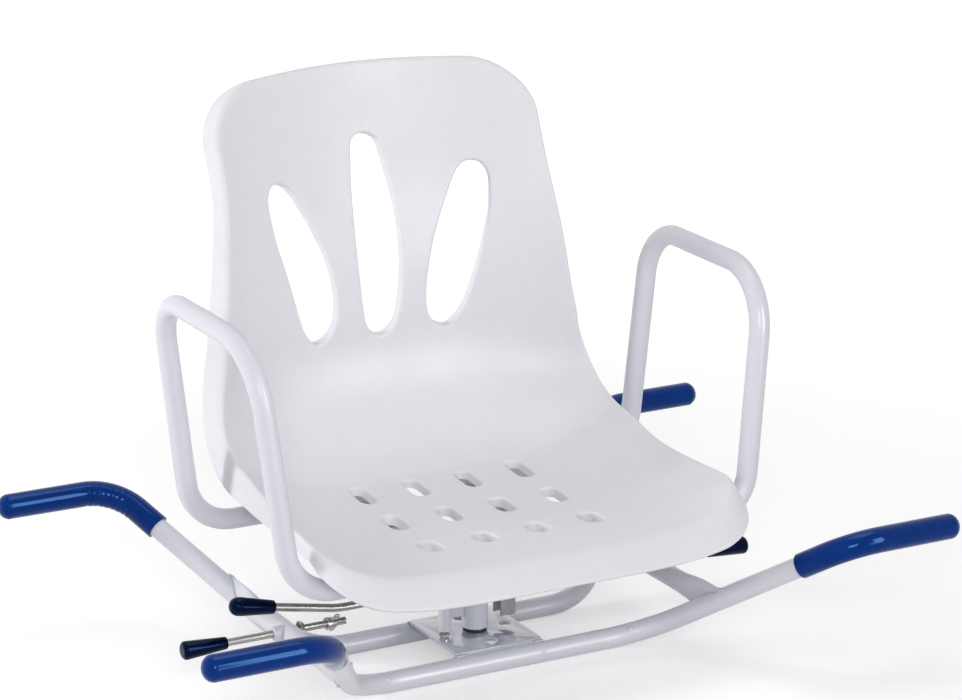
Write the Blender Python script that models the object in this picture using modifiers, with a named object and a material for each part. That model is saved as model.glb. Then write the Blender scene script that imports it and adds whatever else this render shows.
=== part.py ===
"""Swivel bath seat that hangs between the rims of a bath.

Two bent rails rise to four gripped ends that rest on the bath. A plate welded across them
carries a fixed spindle, and a moulded seat with two tube arms turns on it. A hand lever lifts
a sprung pin out of four index holes in the plate. Two threaded rods with soft tips press
sideways on the inside of the bath.

Metres, +Z up. X runs along the rails' ends, from side to side of the seat, and Y to its back.
The origin is on the swivel's axis, level with the rails' underside.
"""
import math

import bmesh
import bpy
from mathutils import Matrix, Vector

# Fits
GAP = 0.0003
RUNNING = 0.0006
CUT_PAST = 0.002

# Tubes
TUBE_DIAMETER = 0.019
TUBE_SIDES = 12
BEND_STEPS = 4

# Rails
OVERALL_WIDTH = 0.740
RAIL_SPACING = 0.100
RAIL_FLAT = 0.298
RAMP_TOP_X = 0.257
RAMP_TOP_Y = 0.225
GRIP_RISE = 0.121
RAMP_FOOT_RADIUS = 0.070
RAMP_TOP_RADIUS = 0.050

# Grips
GRIP_WALL = 0.0020
GRIP_NOSE = 0.0100
GRIP_ON_RAMP = 0.060

# Cross tubes
CROSS_X = 0.187
CRUSH_TALL = 0.030
CRUSH_THICK = 0.008
CRUSH_LENGTH = 0.022
CRUSH_BLEND = 0.030

# Base plate
PLATE_WIDTH = 0.088
PLATE_DEPTH = 0.095
PLATE_THICKNESS = 0.003
PLATE_CORNER = 0.004
INDEX_RADIUS = 0.031
INDEX_COUNT = 4
INDEX_HOLE = 0.0100

# Spindle and what turns on it
SPINDLE_DIAMETER = 0.016
SPINDLE_FLANGE = 0.034
SPINDLE_FLANGE_THICK = 0.004
THREAD_DIAMETER = 0.012
THREAD_PROUD = 0.004
NUT_ACROSS = 0.019
NUT_THICK = 0.008
WASHER_THICK = 0.003
WASHER_DIAMETER = 0.022
POST_DIAMETER = 0.0242
POST_WALL = 0.0020
BUSH_LENGTH = 0.020
BUSH_FLANGE = 0.030
BUSH_FLANGE_THICK = 0.002

# Seat carrier
ARM_AXIS_Z = 0.1245
SEAT_RAIL_X = 0.060
SEAT_RAIL_WIDTH = 0.025
SEAT_RAIL_HEIGHT = 0.015
SEAT_RAIL_WALL = 0.0015
SEAT_RAIL_OVERHANG = 0.010
SWIVEL_PLATE_WIDTH = 0.156
SWIVEL_PLATE_DEPTH = 0.090
SWIVEL_PLATE_THICK = 0.003

# Arms
ARM_TOP_Z = 0.3435
ARM_FOOT_X = 0.227
ARM_TOP_X = 0.252
ARM_FRONT_Y = -0.094
ARM_REAR_Y = 0.115
ARM_TOP_FRONT_Y = -0.081
ARM_TOP_REAR_Y = 0.116
ARM_INNER_X = 0.042
ARM_FOOT_RADIUS = 0.045
ARM_FRONT_RADIUS = 0.060
ARM_REAR_RADIUS = 0.045
PLUG_BORE = 0.0152
PLUG_DEPTH = 0.015
PLUG_HEAD = 0.002

# Lock pin and lever
PIN_DIAMETER = 0.008
PIN_POINT = 0.0015
HOUSING_DIAMETER = 0.012
HOUSING_CLEARANCE = 0.0043
HOUSING_TOP = 0.070
WEB_THICK = 0.004
WEB_BOTTOM = 0.038
LEVER_Y = -0.014
LEVER_Z = 0.0733
LEVER_DIAMETER = 0.0075
LEVER_BEND_X = -0.145
LEVER_BEND_RADIUS = 0.030
LEVER_SLOPE = math.radians(11.0)
LEVER_TIP_X = -0.250
LEVER_INNER_X = -0.017
KNOB_LENGTH = 0.0435
KNOB_LARGE = 0.0170
KNOB_SMALL = 0.0125
KNOB_HOLD = 0.026
PIVOT_X = 0.031
PIVOT_PIN_DIAMETER = 0.005
BARREL_DIAMETER = 0.0100
BRACKET_WIDTH = 0.016
BRACKET_WALL = 0.002
BRACKET_BOTTOM = 0.033
YOKE_THICK = 0.003
YOKE_RING = 0.0055
YOKE_CLEARANCE = 0.0034
YOKE_PIN_CLEARANCE = 0.0013
YOKE_PAD_EDGE = 0.006
YOKE_PAD_LIP = 0.002
YOKE_TONGUE_INSET = 0.001
COLLAR_DIAMETER = 0.014
COLLAR_THICK = 0.004
COLLAR_LIFT = 0.0012
SPRING_WIRE = 0.001
SPRING_TURNS = 5
SPRING_CLEARANCE = 0.0009
PIN_TOP_PROUD = 0.0045

# Side adjusters
ADJUSTER_Z = 0.0545
ADJUSTER_REACH = 0.290
ADJUSTER_ROD = 0.007
ADJUSTER_INNER_X = 0.131
TIP_LENGTH = 0.043
TIP_LARGE = 0.0170
TIP_SMALL = 0.0115
TIP_FACE = 0.009
TIP_HOLD = 0.028
BOSS_DIAMETER = 0.013
BOSS_LENGTH = 0.0065
INNER_NUT_ACROSS = 0.013
INNER_NUT_THICK = 0.006
WING_NUT_X = 0.146
WING_HUB_LENGTH = 0.009
WING_HUB_DIAMETER = 0.012
WING_REACH = 0.012
WING_THICK = 0.0024
WING_TURN = math.radians(35.0)

# Seat shell. Its centre line starts at the front edge: the flat seat, the bend up into the
# back, the lumbar curve, a straight stretch and the top, which eases upright
SHELL_WALL = 0.004
SEAT_FRONT_Y = -0.135
SEAT_LENGTH = 0.212
SEAT_BEND_RADIUS = 0.107
SEAT_BEND_TURN = math.radians(97.0)
LUMBAR_RADIUS = 0.260
LUMBAR_TURN = math.radians(-27.0)
BACK_STRAIGHT = 0.055
BACK_TOP = 0.070
BACK_TOP_TURN = math.radians(8.0)
TOP_ARCH = 0.014
FRONT_CORNER = 0.042
TOP_CORNER = 0.050
SHELL_ACROSS = 18
SHELL_ALONG = 26
LIP_RINGS = 3

# Drain holes and back slots
DRAIN_X = (0.027, 0.081)
DRAIN_Y = (-0.069, -0.002, 0.063)
DRAIN_WIDTH = 0.014
DRAIN_LENGTH = 0.030
BOSS_Y = (-0.060, 0.060)
SEAT_BOSS_DIAMETER = 0.016
SEAT_BOLT = 0.006
SEAT_BOLT_HEAD = 0.010
SEAT_BOLT_HEAD_THICK = 0.004
SEAT_BOLT_LENGTH = 0.028

# Heights that follow from the stack
TUBE_R = TUBE_DIAMETER / 2
RAIL_Y = RAIL_SPACING / 2
PLATE_BOTTOM = TUBE_DIAMETER + GAP
PLATE_TOP = PLATE_BOTTOM + PLATE_THICKNESS
POST_BOTTOM = PLATE_TOP + 2 * GAP + WASHER_THICK
SEAT_RAIL_TOP = ARM_AXIS_Z - TUBE_R - GAP
SEAT_RAIL_BOTTOM = SEAT_RAIL_TOP - SEAT_RAIL_HEIGHT
SWIVEL_PLATE_TOP = SEAT_RAIL_BOTTOM - GAP
SWIVEL_PLATE_BOTTOM = SWIVEL_PLATE_TOP - SWIVEL_PLATE_THICK
POST_TOP = SWIVEL_PLATE_BOTTOM - GAP
POST_R = POST_DIAMETER / 2
BUSH_R = POST_R - POST_WALL - GAP
SPINDLE_R = SPINDLE_DIAMETER / 2
BUSH_TOP = SWIVEL_PLATE_TOP + GAP + BUSH_FLANGE_THICK
CROSS_Z = TUBE_R + GRIP_RISE * (CROSS_X - RAIL_FLAT / 2) / (RAMP_TOP_X - RAIL_FLAT / 2)
SEAT_Z = ARM_AXIS_Z + TUBE_R + GAP + SHELL_WALL
YOKE_BOTTOM = LEVER_Z + LEVER_DIAMETER / 2 + GAP
YOKE_TOP = YOKE_BOTTOM + YOKE_THICK
COLLAR_BOTTOM = YOKE_TOP + COLLAR_LIFT
COLLAR_TOP = COLLAR_BOTTOM + COLLAR_THICK
PIN_BOTTOM = PLATE_TOP + GAP
PIN_TOP = SWIVEL_PLATE_TOP + PIN_TOP_PROUD

WHITE_PAINT = ("white_paint", (0.80, 0.81, 0.85), 0.30, 0.0)
WHITE_PLASTIC = ("white_plastic", (0.83, 0.83, 0.86), 0.42, 0.0)
BLUE_PVC = ("blue_pvc", (0.006, 0.028, 0.165), 0.20, 0.0)
BLACK_PLASTIC = ("black_plastic", (0.008, 0.008, 0.010), 0.22, 0.0)
ZINC = ("zinc", (0.56, 0.54, 0.50), 0.30, 1.0)
DARK_STEEL = ("dark_steel", (0.13, 0.13, 0.14), 0.45, 0.6)
NYLON = ("nylon", (0.55, 0.55, 0.52), 0.50, 0.0)


def clear_scene():
    for item in list(bpy.data.objects):
        bpy.data.objects.remove(item, do_unlink=True)
    for item in list(bpy.data.collections):
        bpy.data.collections.remove(item)


def new_collection(name):
    collection = bpy.data.collections.new(name)
    bpy.context.scene.collection.children.link(collection)
    return collection


def paint(item, finish):
    """Give the object its own material with this finish."""
    name, colour, roughness, metallic = finish
    material = bpy.data.materials.new(f"{item.name}_{name}")
    material.use_nodes = True
    shader = material.node_tree.nodes["Principled BSDF"]
    shader.inputs["Base Color"].default_value = (*colour, 1.0)
    shader.inputs["Roughness"].default_value = roughness
    shader.inputs["Metallic"].default_value = metallic
    item.data.materials.clear()
    item.data.materials.append(material)


def add_object(name, data, finish=None):
    """Link a part. Without a finish it is a cutter: drawn as wires and left out."""
    item = bpy.data.objects.new(name, data)
    if finish is None:
        CUTTERS.objects.link(item)
        item.hide_render = True
        item.display_type = "WIRE"
    else:
        PARTS.objects.link(item)
        paint(item, finish)
    return item


def mesh_object(name, shape, finish=None, smooth=True):
    """Turn a bmesh into an object with its normals facing out."""
    bmesh.ops.recalc_face_normals(shape, faces=shape.faces)
    mesh = bpy.data.meshes.new(name)
    shape.to_mesh(mesh)
    shape.free()
    if smooth:
        mesh.shade_smooth()
        mesh.set_sharp_from_angle(angle=math.radians(35))
    return add_object(name, mesh, finish)


def box(name, low, high, finish=None, bevel=0.0):
    """A block between two corners, with its edges eased by a Bevel modifier."""
    shape = bmesh.new()
    size = [b - a for a, b in zip(low, high)]
    centre = [(a + b) / 2 for a, b in zip(low, high)]
    bmesh.ops.create_cube(shape, size=1.0)
    bmesh.ops.scale(shape, vec=size, verts=shape.verts)
    bmesh.ops.translate(shape, vec=centre, verts=shape.verts)
    item = mesh_object(name, shape, finish, smooth=False)
    if bevel:
        ease(item, bevel)
    return item


def ease(item, width, segments=1):
    modifier = item.modifiers.new("eased edges", "BEVEL")
    modifier.width = width
    modifier.segments = segments
    modifier.limit_method = "ANGLE"


def rod(name, start, end, diameter, finish=None, sides=24, chamfer=0.0):
    """A round bar between two points."""
    start, end = Vector(start), Vector(end)
    shape = bmesh.new()
    length = (end - start).length
    bmesh.ops.create_cone(
        shape, cap_ends=True, segments=sides, radius1=diameter / 2, radius2=diameter / 2, depth=length
    )
    turn = Vector((0, 0, 1)).rotation_difference(end - start).to_matrix().to_4x4()
    place = Matrix.Translation((start + end) / 2) @ turn
    bmesh.ops.transform(shape, matrix=place, verts=shape.verts)
    item = mesh_object(name, shape, finish)
    if chamfer:
        ease(item, chamfer)
    return item


def turned(name, profile, start, direction, finish=None, sides=24):
    """Revolve a profile of (radius, distance) points, from the far end back, about an axis."""
    mesh = bpy.data.meshes.new(name)
    points = [(radius, 0.0, along) for radius, along in profile]
    edges = [(i, i + 1) for i in range(len(points) - 1)]
    mesh.from_pydata(points, edges, [])
    item = add_object(name, mesh, finish)
    screw = item.modifiers.new("turn", "SCREW")
    screw.axis = "Z"
    screw.steps = sides
    screw.render_steps = sides
    screw.use_merge_vertices = True
    screw.merge_threshold = 0.00001
    item.location = start
    item.rotation_mode = "QUATERNION"
    item.rotation_quaternion = Vector((0, 0, 1)).rotation_difference(Vector(direction))
    return item


def bend_path(corners, radii, steps=BEND_STEPS):
    """Points along straight runs, with an arc of each radius at each inner corner."""
    corners = [Vector(c) for c in corners]
    points = [corners[0]]
    for i, radius in enumerate(radii, start=1):
        before = (corners[i - 1] - corners[i]).normalized()
        after = (corners[i + 1] - corners[i]).normalized()
        half = before.angle(after) / 2
        middle = (before + after).normalized()
        centre = corners[i] + middle * radius / math.sin(half)
        first = corners[i] + before * radius / math.tan(half)
        turn_axis = (first - centre).cross(-before)
        sweep = math.pi - 2 * half
        for k in range(steps + 1):
            spin = Matrix.Rotation(sweep * k / steps, 3, turn_axis)
            points.append(centre + spin @ (first - centre))
    points.append(corners[-1])
    return points


def end_of_path(points, length):
    """The last stretch of a path, as long as asked, from its last point backwards."""
    kept = [points[-1]]
    left = length
    for here, there in zip(reversed(points[1:]), reversed(points[:-1])):
        step = (there - here).length
        if step >= left:
            kept.append(here.lerp(there, left / step))
            return kept
        kept.append(there)
        left -= step
    return kept


def tube(name, points, radius, finish=None, sides=TUBE_SIDES, shares=None):
    """A curve with a round bevel. Shares scale the radius at each point."""
    curve = bpy.data.curves.new(name, "CURVE")
    curve.dimensions = "3D"
    curve.bevel_depth = radius
    curve.bevel_resolution = (sides - 4) // 2
    curve.use_fill_caps = True
    spline = curve.splines.new("POLY")
    spline.points.add(len(points) - 1)
    for i, (target, point) in enumerate(zip(spline.points, points)):
        target.co = (*point, 1.0)
        target.radius = shares[i] if shares else 1.0
    return add_object(name, curve, finish)


def freeze(item, finish=None):
    """Replace an object by the mesh that it evaluates to, welded shut."""
    view = bpy.context.evaluated_depsgraph_get()
    mesh = bpy.data.meshes.new_from_object(item.evaluated_get(view))
    shape = bmesh.new()
    shape.from_mesh(mesh)
    bmesh.ops.remove_doubles(shape, verts=shape.verts, dist=0.000005)
    bmesh.ops.recalc_face_normals(shape, faces=shape.faces)
    shape.to_mesh(mesh)
    shape.free()
    mesh.shade_smooth()
    mesh.set_sharp_from_angle(angle=math.radians(35))
    name = item.name
    place = item.matrix_world.copy()
    bpy.data.objects.remove(item, do_unlink=True)
    fresh = add_object(name, mesh, finish)
    fresh.matrix_world = place
    return fresh


def combine(item, other, operation="DIFFERENCE"):
    modifier = item.modifiers.new(f"{operation.lower()} {other.name}", "BOOLEAN")
    modifier.operation = operation
    modifier.solver = "EXACT"
    modifier.object = other


def cut(item, *others):
    for other in others:
        combine(item, other, "DIFFERENCE")


def join(item, *others):
    for other in others:
        combine(item, other, "UNION")


def joined_mesh(name, items, finish=None):
    """Gather several separate closed shapes into one object."""
    view = bpy.context.evaluated_depsgraph_get()
    shape = bmesh.new()
    for item in items:
        mesh = bpy.data.meshes.new_from_object(item.evaluated_get(view))
        mesh.transform(item.matrix_world)
        shape.from_mesh(mesh)
        bpy.data.meshes.remove(mesh)
    for item in items:
        bpy.data.objects.remove(item, do_unlink=True)
    bmesh.ops.remove_doubles(shape, verts=shape.verts, dist=0.000001)
    return mesh_object(name, shape, finish)


def hexagon(name, across, start, end, finish=None):
    """A hexagonal bar between two points, with the size given across its flats."""
    return rod(name, start, end, across / math.cos(math.pi / 6), finish, sides=6)


def pivot(name, place):
    """An empty on a joint's axis, for the pieces that move about it."""
    empty = bpy.data.objects.new(name, None)
    PARTS.objects.link(empty)
    empty.empty_display_size = 0.02
    empty.location = place
    return empty


def hang(parent, *items):
    bpy.context.view_layer.update()
    for item in items:
        place = item.matrix_world.copy()
        item.parent = parent
        item.matrix_parent_inverse = parent.matrix_world.inverted()
        item.matrix_world = place


def blend(share):
    """A smooth step from 0 to 1."""
    share = min(max(share, 0.0), 1.0)
    return share * share * (3 - 2 * share)


# Rails, grips and cross tubes
def rail_path(side):
    """The path of the front rail's axis (side -1) or of the rear one's (side 1)."""
    reach = OVERALL_WIDTH / 2 - GRIP_NOSE
    top = TUBE_R + GRIP_RISE
    corners = [
        (-reach, side * RAMP_TOP_Y, top),
        (-RAMP_TOP_X, side * RAMP_TOP_Y, top),
        (-RAIL_FLAT / 2, side * RAIL_Y, TUBE_R),
        (RAIL_FLAT / 2, side * RAIL_Y, TUBE_R),
        (RAMP_TOP_X, side * RAMP_TOP_Y, top),
        (reach, side * RAMP_TOP_Y, top),
    ]
    return bend_path(corners, [RAMP_TOP_RADIUS, RAMP_FOOT_RADIUS, RAMP_FOOT_RADIUS, RAMP_TOP_RADIUS])


def grip_length():
    """Along the axis: the straight end, the bend, and the stretch down the ramp."""
    straight = OVERALL_WIDTH / 2 - GRIP_NOSE - RAMP_TOP_X
    return straight + GRIP_ON_RAMP - 0.2 * RAMP_TOP_RADIUS


def make_rail(name, side):
    return tube(name, rail_path(side), TUBE_R, WHITE_PAINT)


def make_grip(name, path):
    """A closed sleeve over the rail's end, with a domed nose."""
    covered = end_of_path(path, grip_length())
    nose = (covered[0] - covered[1]).normalized()
    radius = TUBE_R + GAP + GRIP_WALL
    domed = [covered[0] + nose * GRIP_NOSE]
    shares = [0.2]
    for step in range(1, 4):
        angle = math.radians(23 * step)
        domed.append(covered[0] + nose * GRIP_NOSE * math.cos(angle))
        shares.append(math.sin(angle))
    body = tube(name, domed + covered[1:], radius, BLUE_PVC, shares=shares + [1.0] * (len(covered) - 1))
    body = freeze(body, BLUE_PVC)
    tail = covered[-1] + (covered[-1] - covered[-2]).normalized() * 0.004
    inside = tube(f"{name}_bore", [covered[0] + nose * GAP] + covered[1:-1] + [tail], TUBE_R + GAP)
    cut(body, freeze(inside))
    return body


def make_cross_tube(name, x):
    """A tube whose ends are crushed to tall ovals and coped to sit against the ramps."""
    share = (abs(x) - RAIL_FLAT / 2) / (RAMP_TOP_X - RAIL_FLAT / 2)
    ramp_y = RAIL_Y + share * (RAMP_TOP_Y - RAIL_Y)
    half = ramp_y + TUBE_DIAMETER
    count = 12
    points = [Vector((x, half * (2 * i / count - 1), CROSS_Z)) for i in range(count + 1)]
    item = freeze(tube(name, points, TUBE_R, WHITE_PAINT), WHITE_PAINT)
    round_end = ramp_y - CRUSH_LENGTH - CRUSH_BLEND
    for vertex in item.data.vertices:
        amount = blend((abs(vertex.co.y) - round_end) / CRUSH_BLEND)
        wide = 1 + amount * (CRUSH_THICK / TUBE_DIAMETER - 1)
        tall = 1 + amount * (CRUSH_TALL / TUBE_DIAMETER - 1)
        vertex.co.x = x + (vertex.co.x - x) * wide
        vertex.co.z = CROSS_Z + (vertex.co.z - CROSS_Z) * tall
    shape = bmesh.new()
    shape.from_mesh(item.data)
    for side in (-1, 1):
        foot = Vector((math.copysign(RAIL_FLAT / 2, x), side * RAIL_Y, TUBE_R))
        head = Vector((math.copysign(RAMP_TOP_X, x), side * RAMP_TOP_Y, TUBE_R + GRIP_RISE))
        along = (head - foot).normalized()
        outward = Vector((0, side, 0))
        outward = (outward - along * outward.dot(along)).normalized()
        bmesh.ops.bisect_plane(
            shape,
            geom=shape.verts[:] + shape.edges[:] + shape.faces[:],
            plane_co=foot,
            plane_no=outward,
            clear_outer=True,
        )
        rim = [edge for edge in shape.edges if edge.is_boundary]
        bmesh.ops.holes_fill(shape, edges=rim)
    bmesh.ops.recalc_face_normals(shape, faces=shape.faces)
    shape.to_mesh(item.data)
    shape.free()
    for side, label in ((-1, "front"), (1, "rear")):
        cope = freeze(tube(f"{name}_{label}_cope", rail_path(side), TUBE_R + GAP, sides=16))
        cut(item, cope)
    reach = TUBE_DIAMETER
    hole = rod(
        f"{name}_rod_hole",
        (x - reach, 0, ADJUSTER_Z),
        (x + reach, 0, ADJUSTER_Z),
        ADJUSTER_ROD + 2 * GAP,
    )
    cut(item, hole)
    return item


def make_base():
    for name, side in (("front", -1), ("rear", 1)):
        make_rail(f"{name}_rail", side)
        path = rail_path(side)
        make_grip(f"grip_{name}_right", path)
        make_grip(f"grip_{name}_left", list(reversed(path)))
    make_cross_tube("cross_tube_left", -CROSS_X)
    make_cross_tube("cross_tube_right", CROSS_X)


# Base plate, spindle and bearings
def make_base_plate():
    half_x, half_y = PLATE_WIDTH / 2, PLATE_DEPTH / 2
    plate = box("base_plate", (-half_x, -half_y, PLATE_BOTTOM), (half_x, half_y, PLATE_TOP), WHITE_PAINT)
    shape = bmesh.new()
    shape.from_mesh(plate.data)
    upright = [e for e in shape.edges if abs(e.verts[0].co.z - e.verts[1].co.z) > PLATE_THICKNESS / 2]
    bmesh.ops.bevel(shape, geom=upright, offset=PLATE_CORNER, segments=3, affect="EDGES", profile=0.5)
    shape.to_mesh(plate.data)
    shape.free()
    low, high = PLATE_BOTTOM - CUT_PAST, PLATE_TOP + CUT_PAST
    cut(plate, rod("spindle_hole", (0, 0, low), (0, 0, high), SPINDLE_DIAMETER + 2 * GAP))
    for i in range(INDEX_COUNT):
        angle = 2 * math.pi * i / INDEX_COUNT
        x, y = INDEX_RADIUS * math.cos(angle), INDEX_RADIUS * math.sin(angle)
        cut(plate, rod(f"index_hole_{i + 1}", (x, y, low), (x, y, high), INDEX_HOLE))


def make_spindle():
    """A welded stud: its flange lies under the plate and its thread carries the top nut."""
    flange_top = PLATE_BOTTOM - GAP
    flange_bottom = flange_top - SPINDLE_FLANGE_THICK
    shoulder = BUSH_TOP + GAP
    top = shoulder + 2 * GAP + WASHER_THICK + NUT_THICK + THREAD_PROUD
    ease_by = 0.001
    profile = [
        (0, top),
        (THREAD_DIAMETER / 2 - ease_by, top),
        (THREAD_DIAMETER / 2, top - ease_by),
        (THREAD_DIAMETER / 2, shoulder),
        (SPINDLE_R, shoulder),
        (SPINDLE_R, flange_top),
        (SPINDLE_FLANGE / 2, flange_top),
        (SPINDLE_FLANGE / 2, flange_bottom),
        (0, flange_bottom),
    ]
    turned("spindle", profile, (0, 0, 0), (0, 0, 1), ZINC, sides=20)
    washer_low = shoulder + GAP
    washer_high = washer_low + WASHER_THICK
    ring("top_washer", washer_low, washer_high, BUSH_FLANGE / 2, THREAD_DIAMETER / 2 + GAP, ZINC)
    nut_low = washer_high + GAP
    nut = hexagon("spindle_nut", NUT_ACROSS, (0, 0, nut_low), (0, 0, nut_low + NUT_THICK), ZINC)
    low, high = nut_low - CUT_PAST, nut_low + NUT_THICK + CUT_PAST
    cut(nut, rod("spindle_nut_thread", (0, 0, low), (0, 0, high), THREAD_DIAMETER + 2 * GAP))


def ring(name, low, high, outer, inner, finish, sides=20):
    """A plain round ring about the swivel's axis."""
    profile = [(inner, low), (inner, high), (outer, high), (outer, low), (inner, low)]
    return turned(name, profile, (0, 0, 0), (0, 0, 1), finish, sides)


def make_bearings():
    low = PLATE_TOP + GAP
    ring("thrust_washer", low, low + WASHER_THICK, WASHER_DIAMETER / 2, SPINDLE_R + GAP, BLACK_PLASTIC)
    ring("lower_bush", POST_BOTTOM, POST_BOTTOM + BUSH_LENGTH, BUSH_R, SPINDLE_R + GAP, NYLON)
    flange_low = SWIVEL_PLATE_TOP + GAP
    bore = SPINDLE_R + GAP
    profile = [
        (bore, POST_TOP - BUSH_LENGTH),
        (bore, BUSH_TOP),
        (BUSH_FLANGE / 2, BUSH_TOP),
        (BUSH_FLANGE / 2, flange_low),
        (BUSH_R, flange_low),
        (BUSH_R, POST_TOP - BUSH_LENGTH),
        (bore, POST_TOP - BUSH_LENGTH),
    ]
    turned("upper_bush", profile, (0, 0, 0), (0, 0, 1), NYLON, sides=20)


# Seat carrier
def make_carrier():
    ring("swivel_tube", POST_BOTTOM, POST_TOP, POST_R, POST_R - POST_WALL, WHITE_PAINT, sides=24)
    half_x, half_y = SWIVEL_PLATE_WIDTH / 2, SWIVEL_PLATE_DEPTH / 2
    low, high = SWIVEL_PLATE_BOTTOM, SWIVEL_PLATE_TOP
    plate = box("swivel_plate", (-half_x, -half_y, low), (half_x, half_y, high), WHITE_PAINT)
    low, high = low - CUT_PAST, high + CUT_PAST
    cut(plate, rod("bush_hole", (0, 0, low), (0, 0, high), 2 * (BUSH_R + GAP)))
    pin_x = -INDEX_RADIUS
    cut(plate, rod("pin_guide", (pin_x, 0, low), (pin_x, 0, high), PIN_DIAMETER + RUNNING))
    for side, name in ((-1, "seat_rail_left"), (1, "seat_rail_right")):
        make_seat_rail(name, side * SEAT_RAIL_X)


def make_seat_rail(name, x):
    """A rectangular tube from front to back, welded under both arms' cross bars."""
    front, back = ARM_FRONT_Y - SEAT_RAIL_OVERHANG, ARM_REAR_Y + SEAT_RAIL_OVERHANG
    half = SEAT_RAIL_WIDTH / 2
    wall = SEAT_RAIL_WALL
    rail = box(name, (x - half, front, SEAT_RAIL_BOTTOM), (x + half, back, SEAT_RAIL_TOP), WHITE_PAINT)
    inside = box(
        f"{name}_inside",
        (x - half + wall, front - wall, SEAT_RAIL_BOTTOM + wall),
        (x + half - wall, back + wall, SEAT_RAIL_TOP - wall),
    )
    cut(rail, inside)
    for i, y in enumerate(BOSS_Y):
        ends = (x, y, SEAT_RAIL_BOTTOM - CUT_PAST), (x, y, SEAT_RAIL_TOP + CUT_PAST)
        cut(rail, rod(f"{name}_bolt_hole_{i + 1}", *ends, SEAT_BOLT + 2 * GAP, sides=16))


# Arms
def arm_path(side):
    corners = [
        (side * ARM_INNER_X, ARM_FRONT_Y, ARM_AXIS_Z),
        (side * ARM_FOOT_X, ARM_FRONT_Y, ARM_AXIS_Z),
        (side * ARM_TOP_X, ARM_TOP_FRONT_Y, ARM_TOP_Z),
        (side * ARM_TOP_X, ARM_TOP_REAR_Y, ARM_TOP_Z),
        (side * ARM_FOOT_X, ARM_REAR_Y, ARM_AXIS_Z),
        (side * ARM_INNER_X, ARM_REAR_Y, ARM_AXIS_Z),
    ]
    return bend_path(corners, [ARM_FOOT_RADIUS, ARM_FRONT_RADIUS, ARM_REAR_RADIUS, ARM_FOOT_RADIUS])


def make_arms():
    for side, name in ((-1, "arm_left"), (1, "arm_right")):
        arm = freeze(tube(name, arm_path(side), TUBE_R, WHITE_PAINT), WHITE_PAINT)
        for y, end in ((ARM_FRONT_Y, "front"), (ARM_REAR_Y, "rear")):
            mouth = Vector((side * ARM_INNER_X, y, ARM_AXIS_Z))
            inward = Vector((side, 0, 0))
            ends = mouth - inward * CUT_PAST, mouth + inward * (PLUG_DEPTH + 2 * CUT_PAST)
            cut(arm, rod(f"{name}_{end}_bore", *ends, PLUG_BORE, sides=16))
            spigot = PLUG_BORE / 2 - GAP
            profile = [
                (0, PLUG_DEPTH),
                (spigot - 0.001, PLUG_DEPTH),
                (spigot, PLUG_DEPTH - 0.002),
                (spigot, -GAP),
                (TUBE_R - GAP, -GAP),
                (TUBE_R - 0.001, -GAP - PLUG_HEAD),
                (0, -GAP - PLUG_HEAD),
            ]
            turned(f"{name}_plug_{end}", profile, mouth, inward, BLACK_PLASTIC, sides=16)


# Lock pin, its housing and the lever
def make_lock():
    """The pin drops through the swivel plate and its housing into an index hole."""
    x = -INDEX_RADIUS
    guide = PIN_DIAMETER + RUNNING
    housing_bottom = PLATE_TOP + HOUSING_CLEARANCE
    ends = (x, 0, housing_bottom), (x, 0, HOUSING_TOP)
    housing = rod("lock_housing", *ends, HOUSING_DIAMETER, WHITE_PAINT, sides=20)
    web_top = HOUSING_TOP - WEB_THICK
    web = box("lock_web", (x, -WEB_THICK / 2, WEB_BOTTOM), (-POST_R / 2, WEB_THICK / 2, web_top))
    join(housing, web)
    low, high = housing_bottom - CUT_PAST, HOUSING_TOP + CUT_PAST
    cut(
        housing,
        rod("housing_bore", (x, 0, low), (x, 0, high), guide, sides=16),
        rod("post_clearance", (0, 0, low), (0, 0, high), 2 * (POST_R + GAP)),
    )
    tip = PIN_DIAMETER / 2
    profile = [(0, PIN_TOP), (tip - 0.001, PIN_TOP), (tip, PIN_TOP - 0.001), (tip, PIN_BOTTOM + PIN_POINT)]
    profile += [(tip - PIN_POINT, PIN_BOTTOM), (0, PIN_BOTTOM)]
    pin = turned("lock_pin", profile, (x, 0, 0), (0, 0, 1), ZINC, sides=20)
    bore = tip + GAP
    profile = [(bore, COLLAR_BOTTOM), (bore, COLLAR_TOP), (COLLAR_DIAMETER / 2, COLLAR_TOP)]
    profile += [(COLLAR_DIAMETER / 2, COLLAR_BOTTOM), (bore, COLLAR_BOTTOM)]
    collar = turned("lock_collar", profile, (x, 0, 0), (0, 0, 1), ZINC, sides=20)
    hang(pivot("lock_slide", (x, 0, PIN_BOTTOM)), pin, collar)
    make_spring(x)


def least_gap(points, wire, skip):
    """The least gap between stretches of a wound wire more than a few points apart."""
    gaps = []
    for i, here in enumerate(points):
        for there in points[i + skip:]:
            gaps.append((here - there).length - wire)
    return min(gaps)


def make_spring(x):
    """The coil that pushes the collar, and so the pin, down. Its ends stand square."""
    radius = PIN_DIAMETER / 2 + SPRING_CLEARANCE + SPRING_WIRE / 2
    low, high = COLLAR_TOP + GAP, SWIVEL_PLATE_BOTTOM - GAP
    first, last = low + SPRING_WIRE, high - SPRING_WIRE
    per_turn = 9
    count = SPRING_TURNS * per_turn
    points = []
    for i in range(count + 1):
        angle = 2 * math.pi * i / per_turn
        z = first + (last - first) * i / count
        points.append(Vector((x + radius * math.cos(angle), radius * math.sin(angle), z)))
    print(f"spring: least gap to itself {1000 * least_gap(points, SPRING_WIRE, per_turn // 2):.2f} mm")
    foot = Vector((points[0].x, points[0].y, low))
    head = Vector((points[-1].x, points[-1].y, high))
    tube("lock_spring", [foot, *points, head], SPRING_WIRE / 2, ZINC, sides=6)


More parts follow.
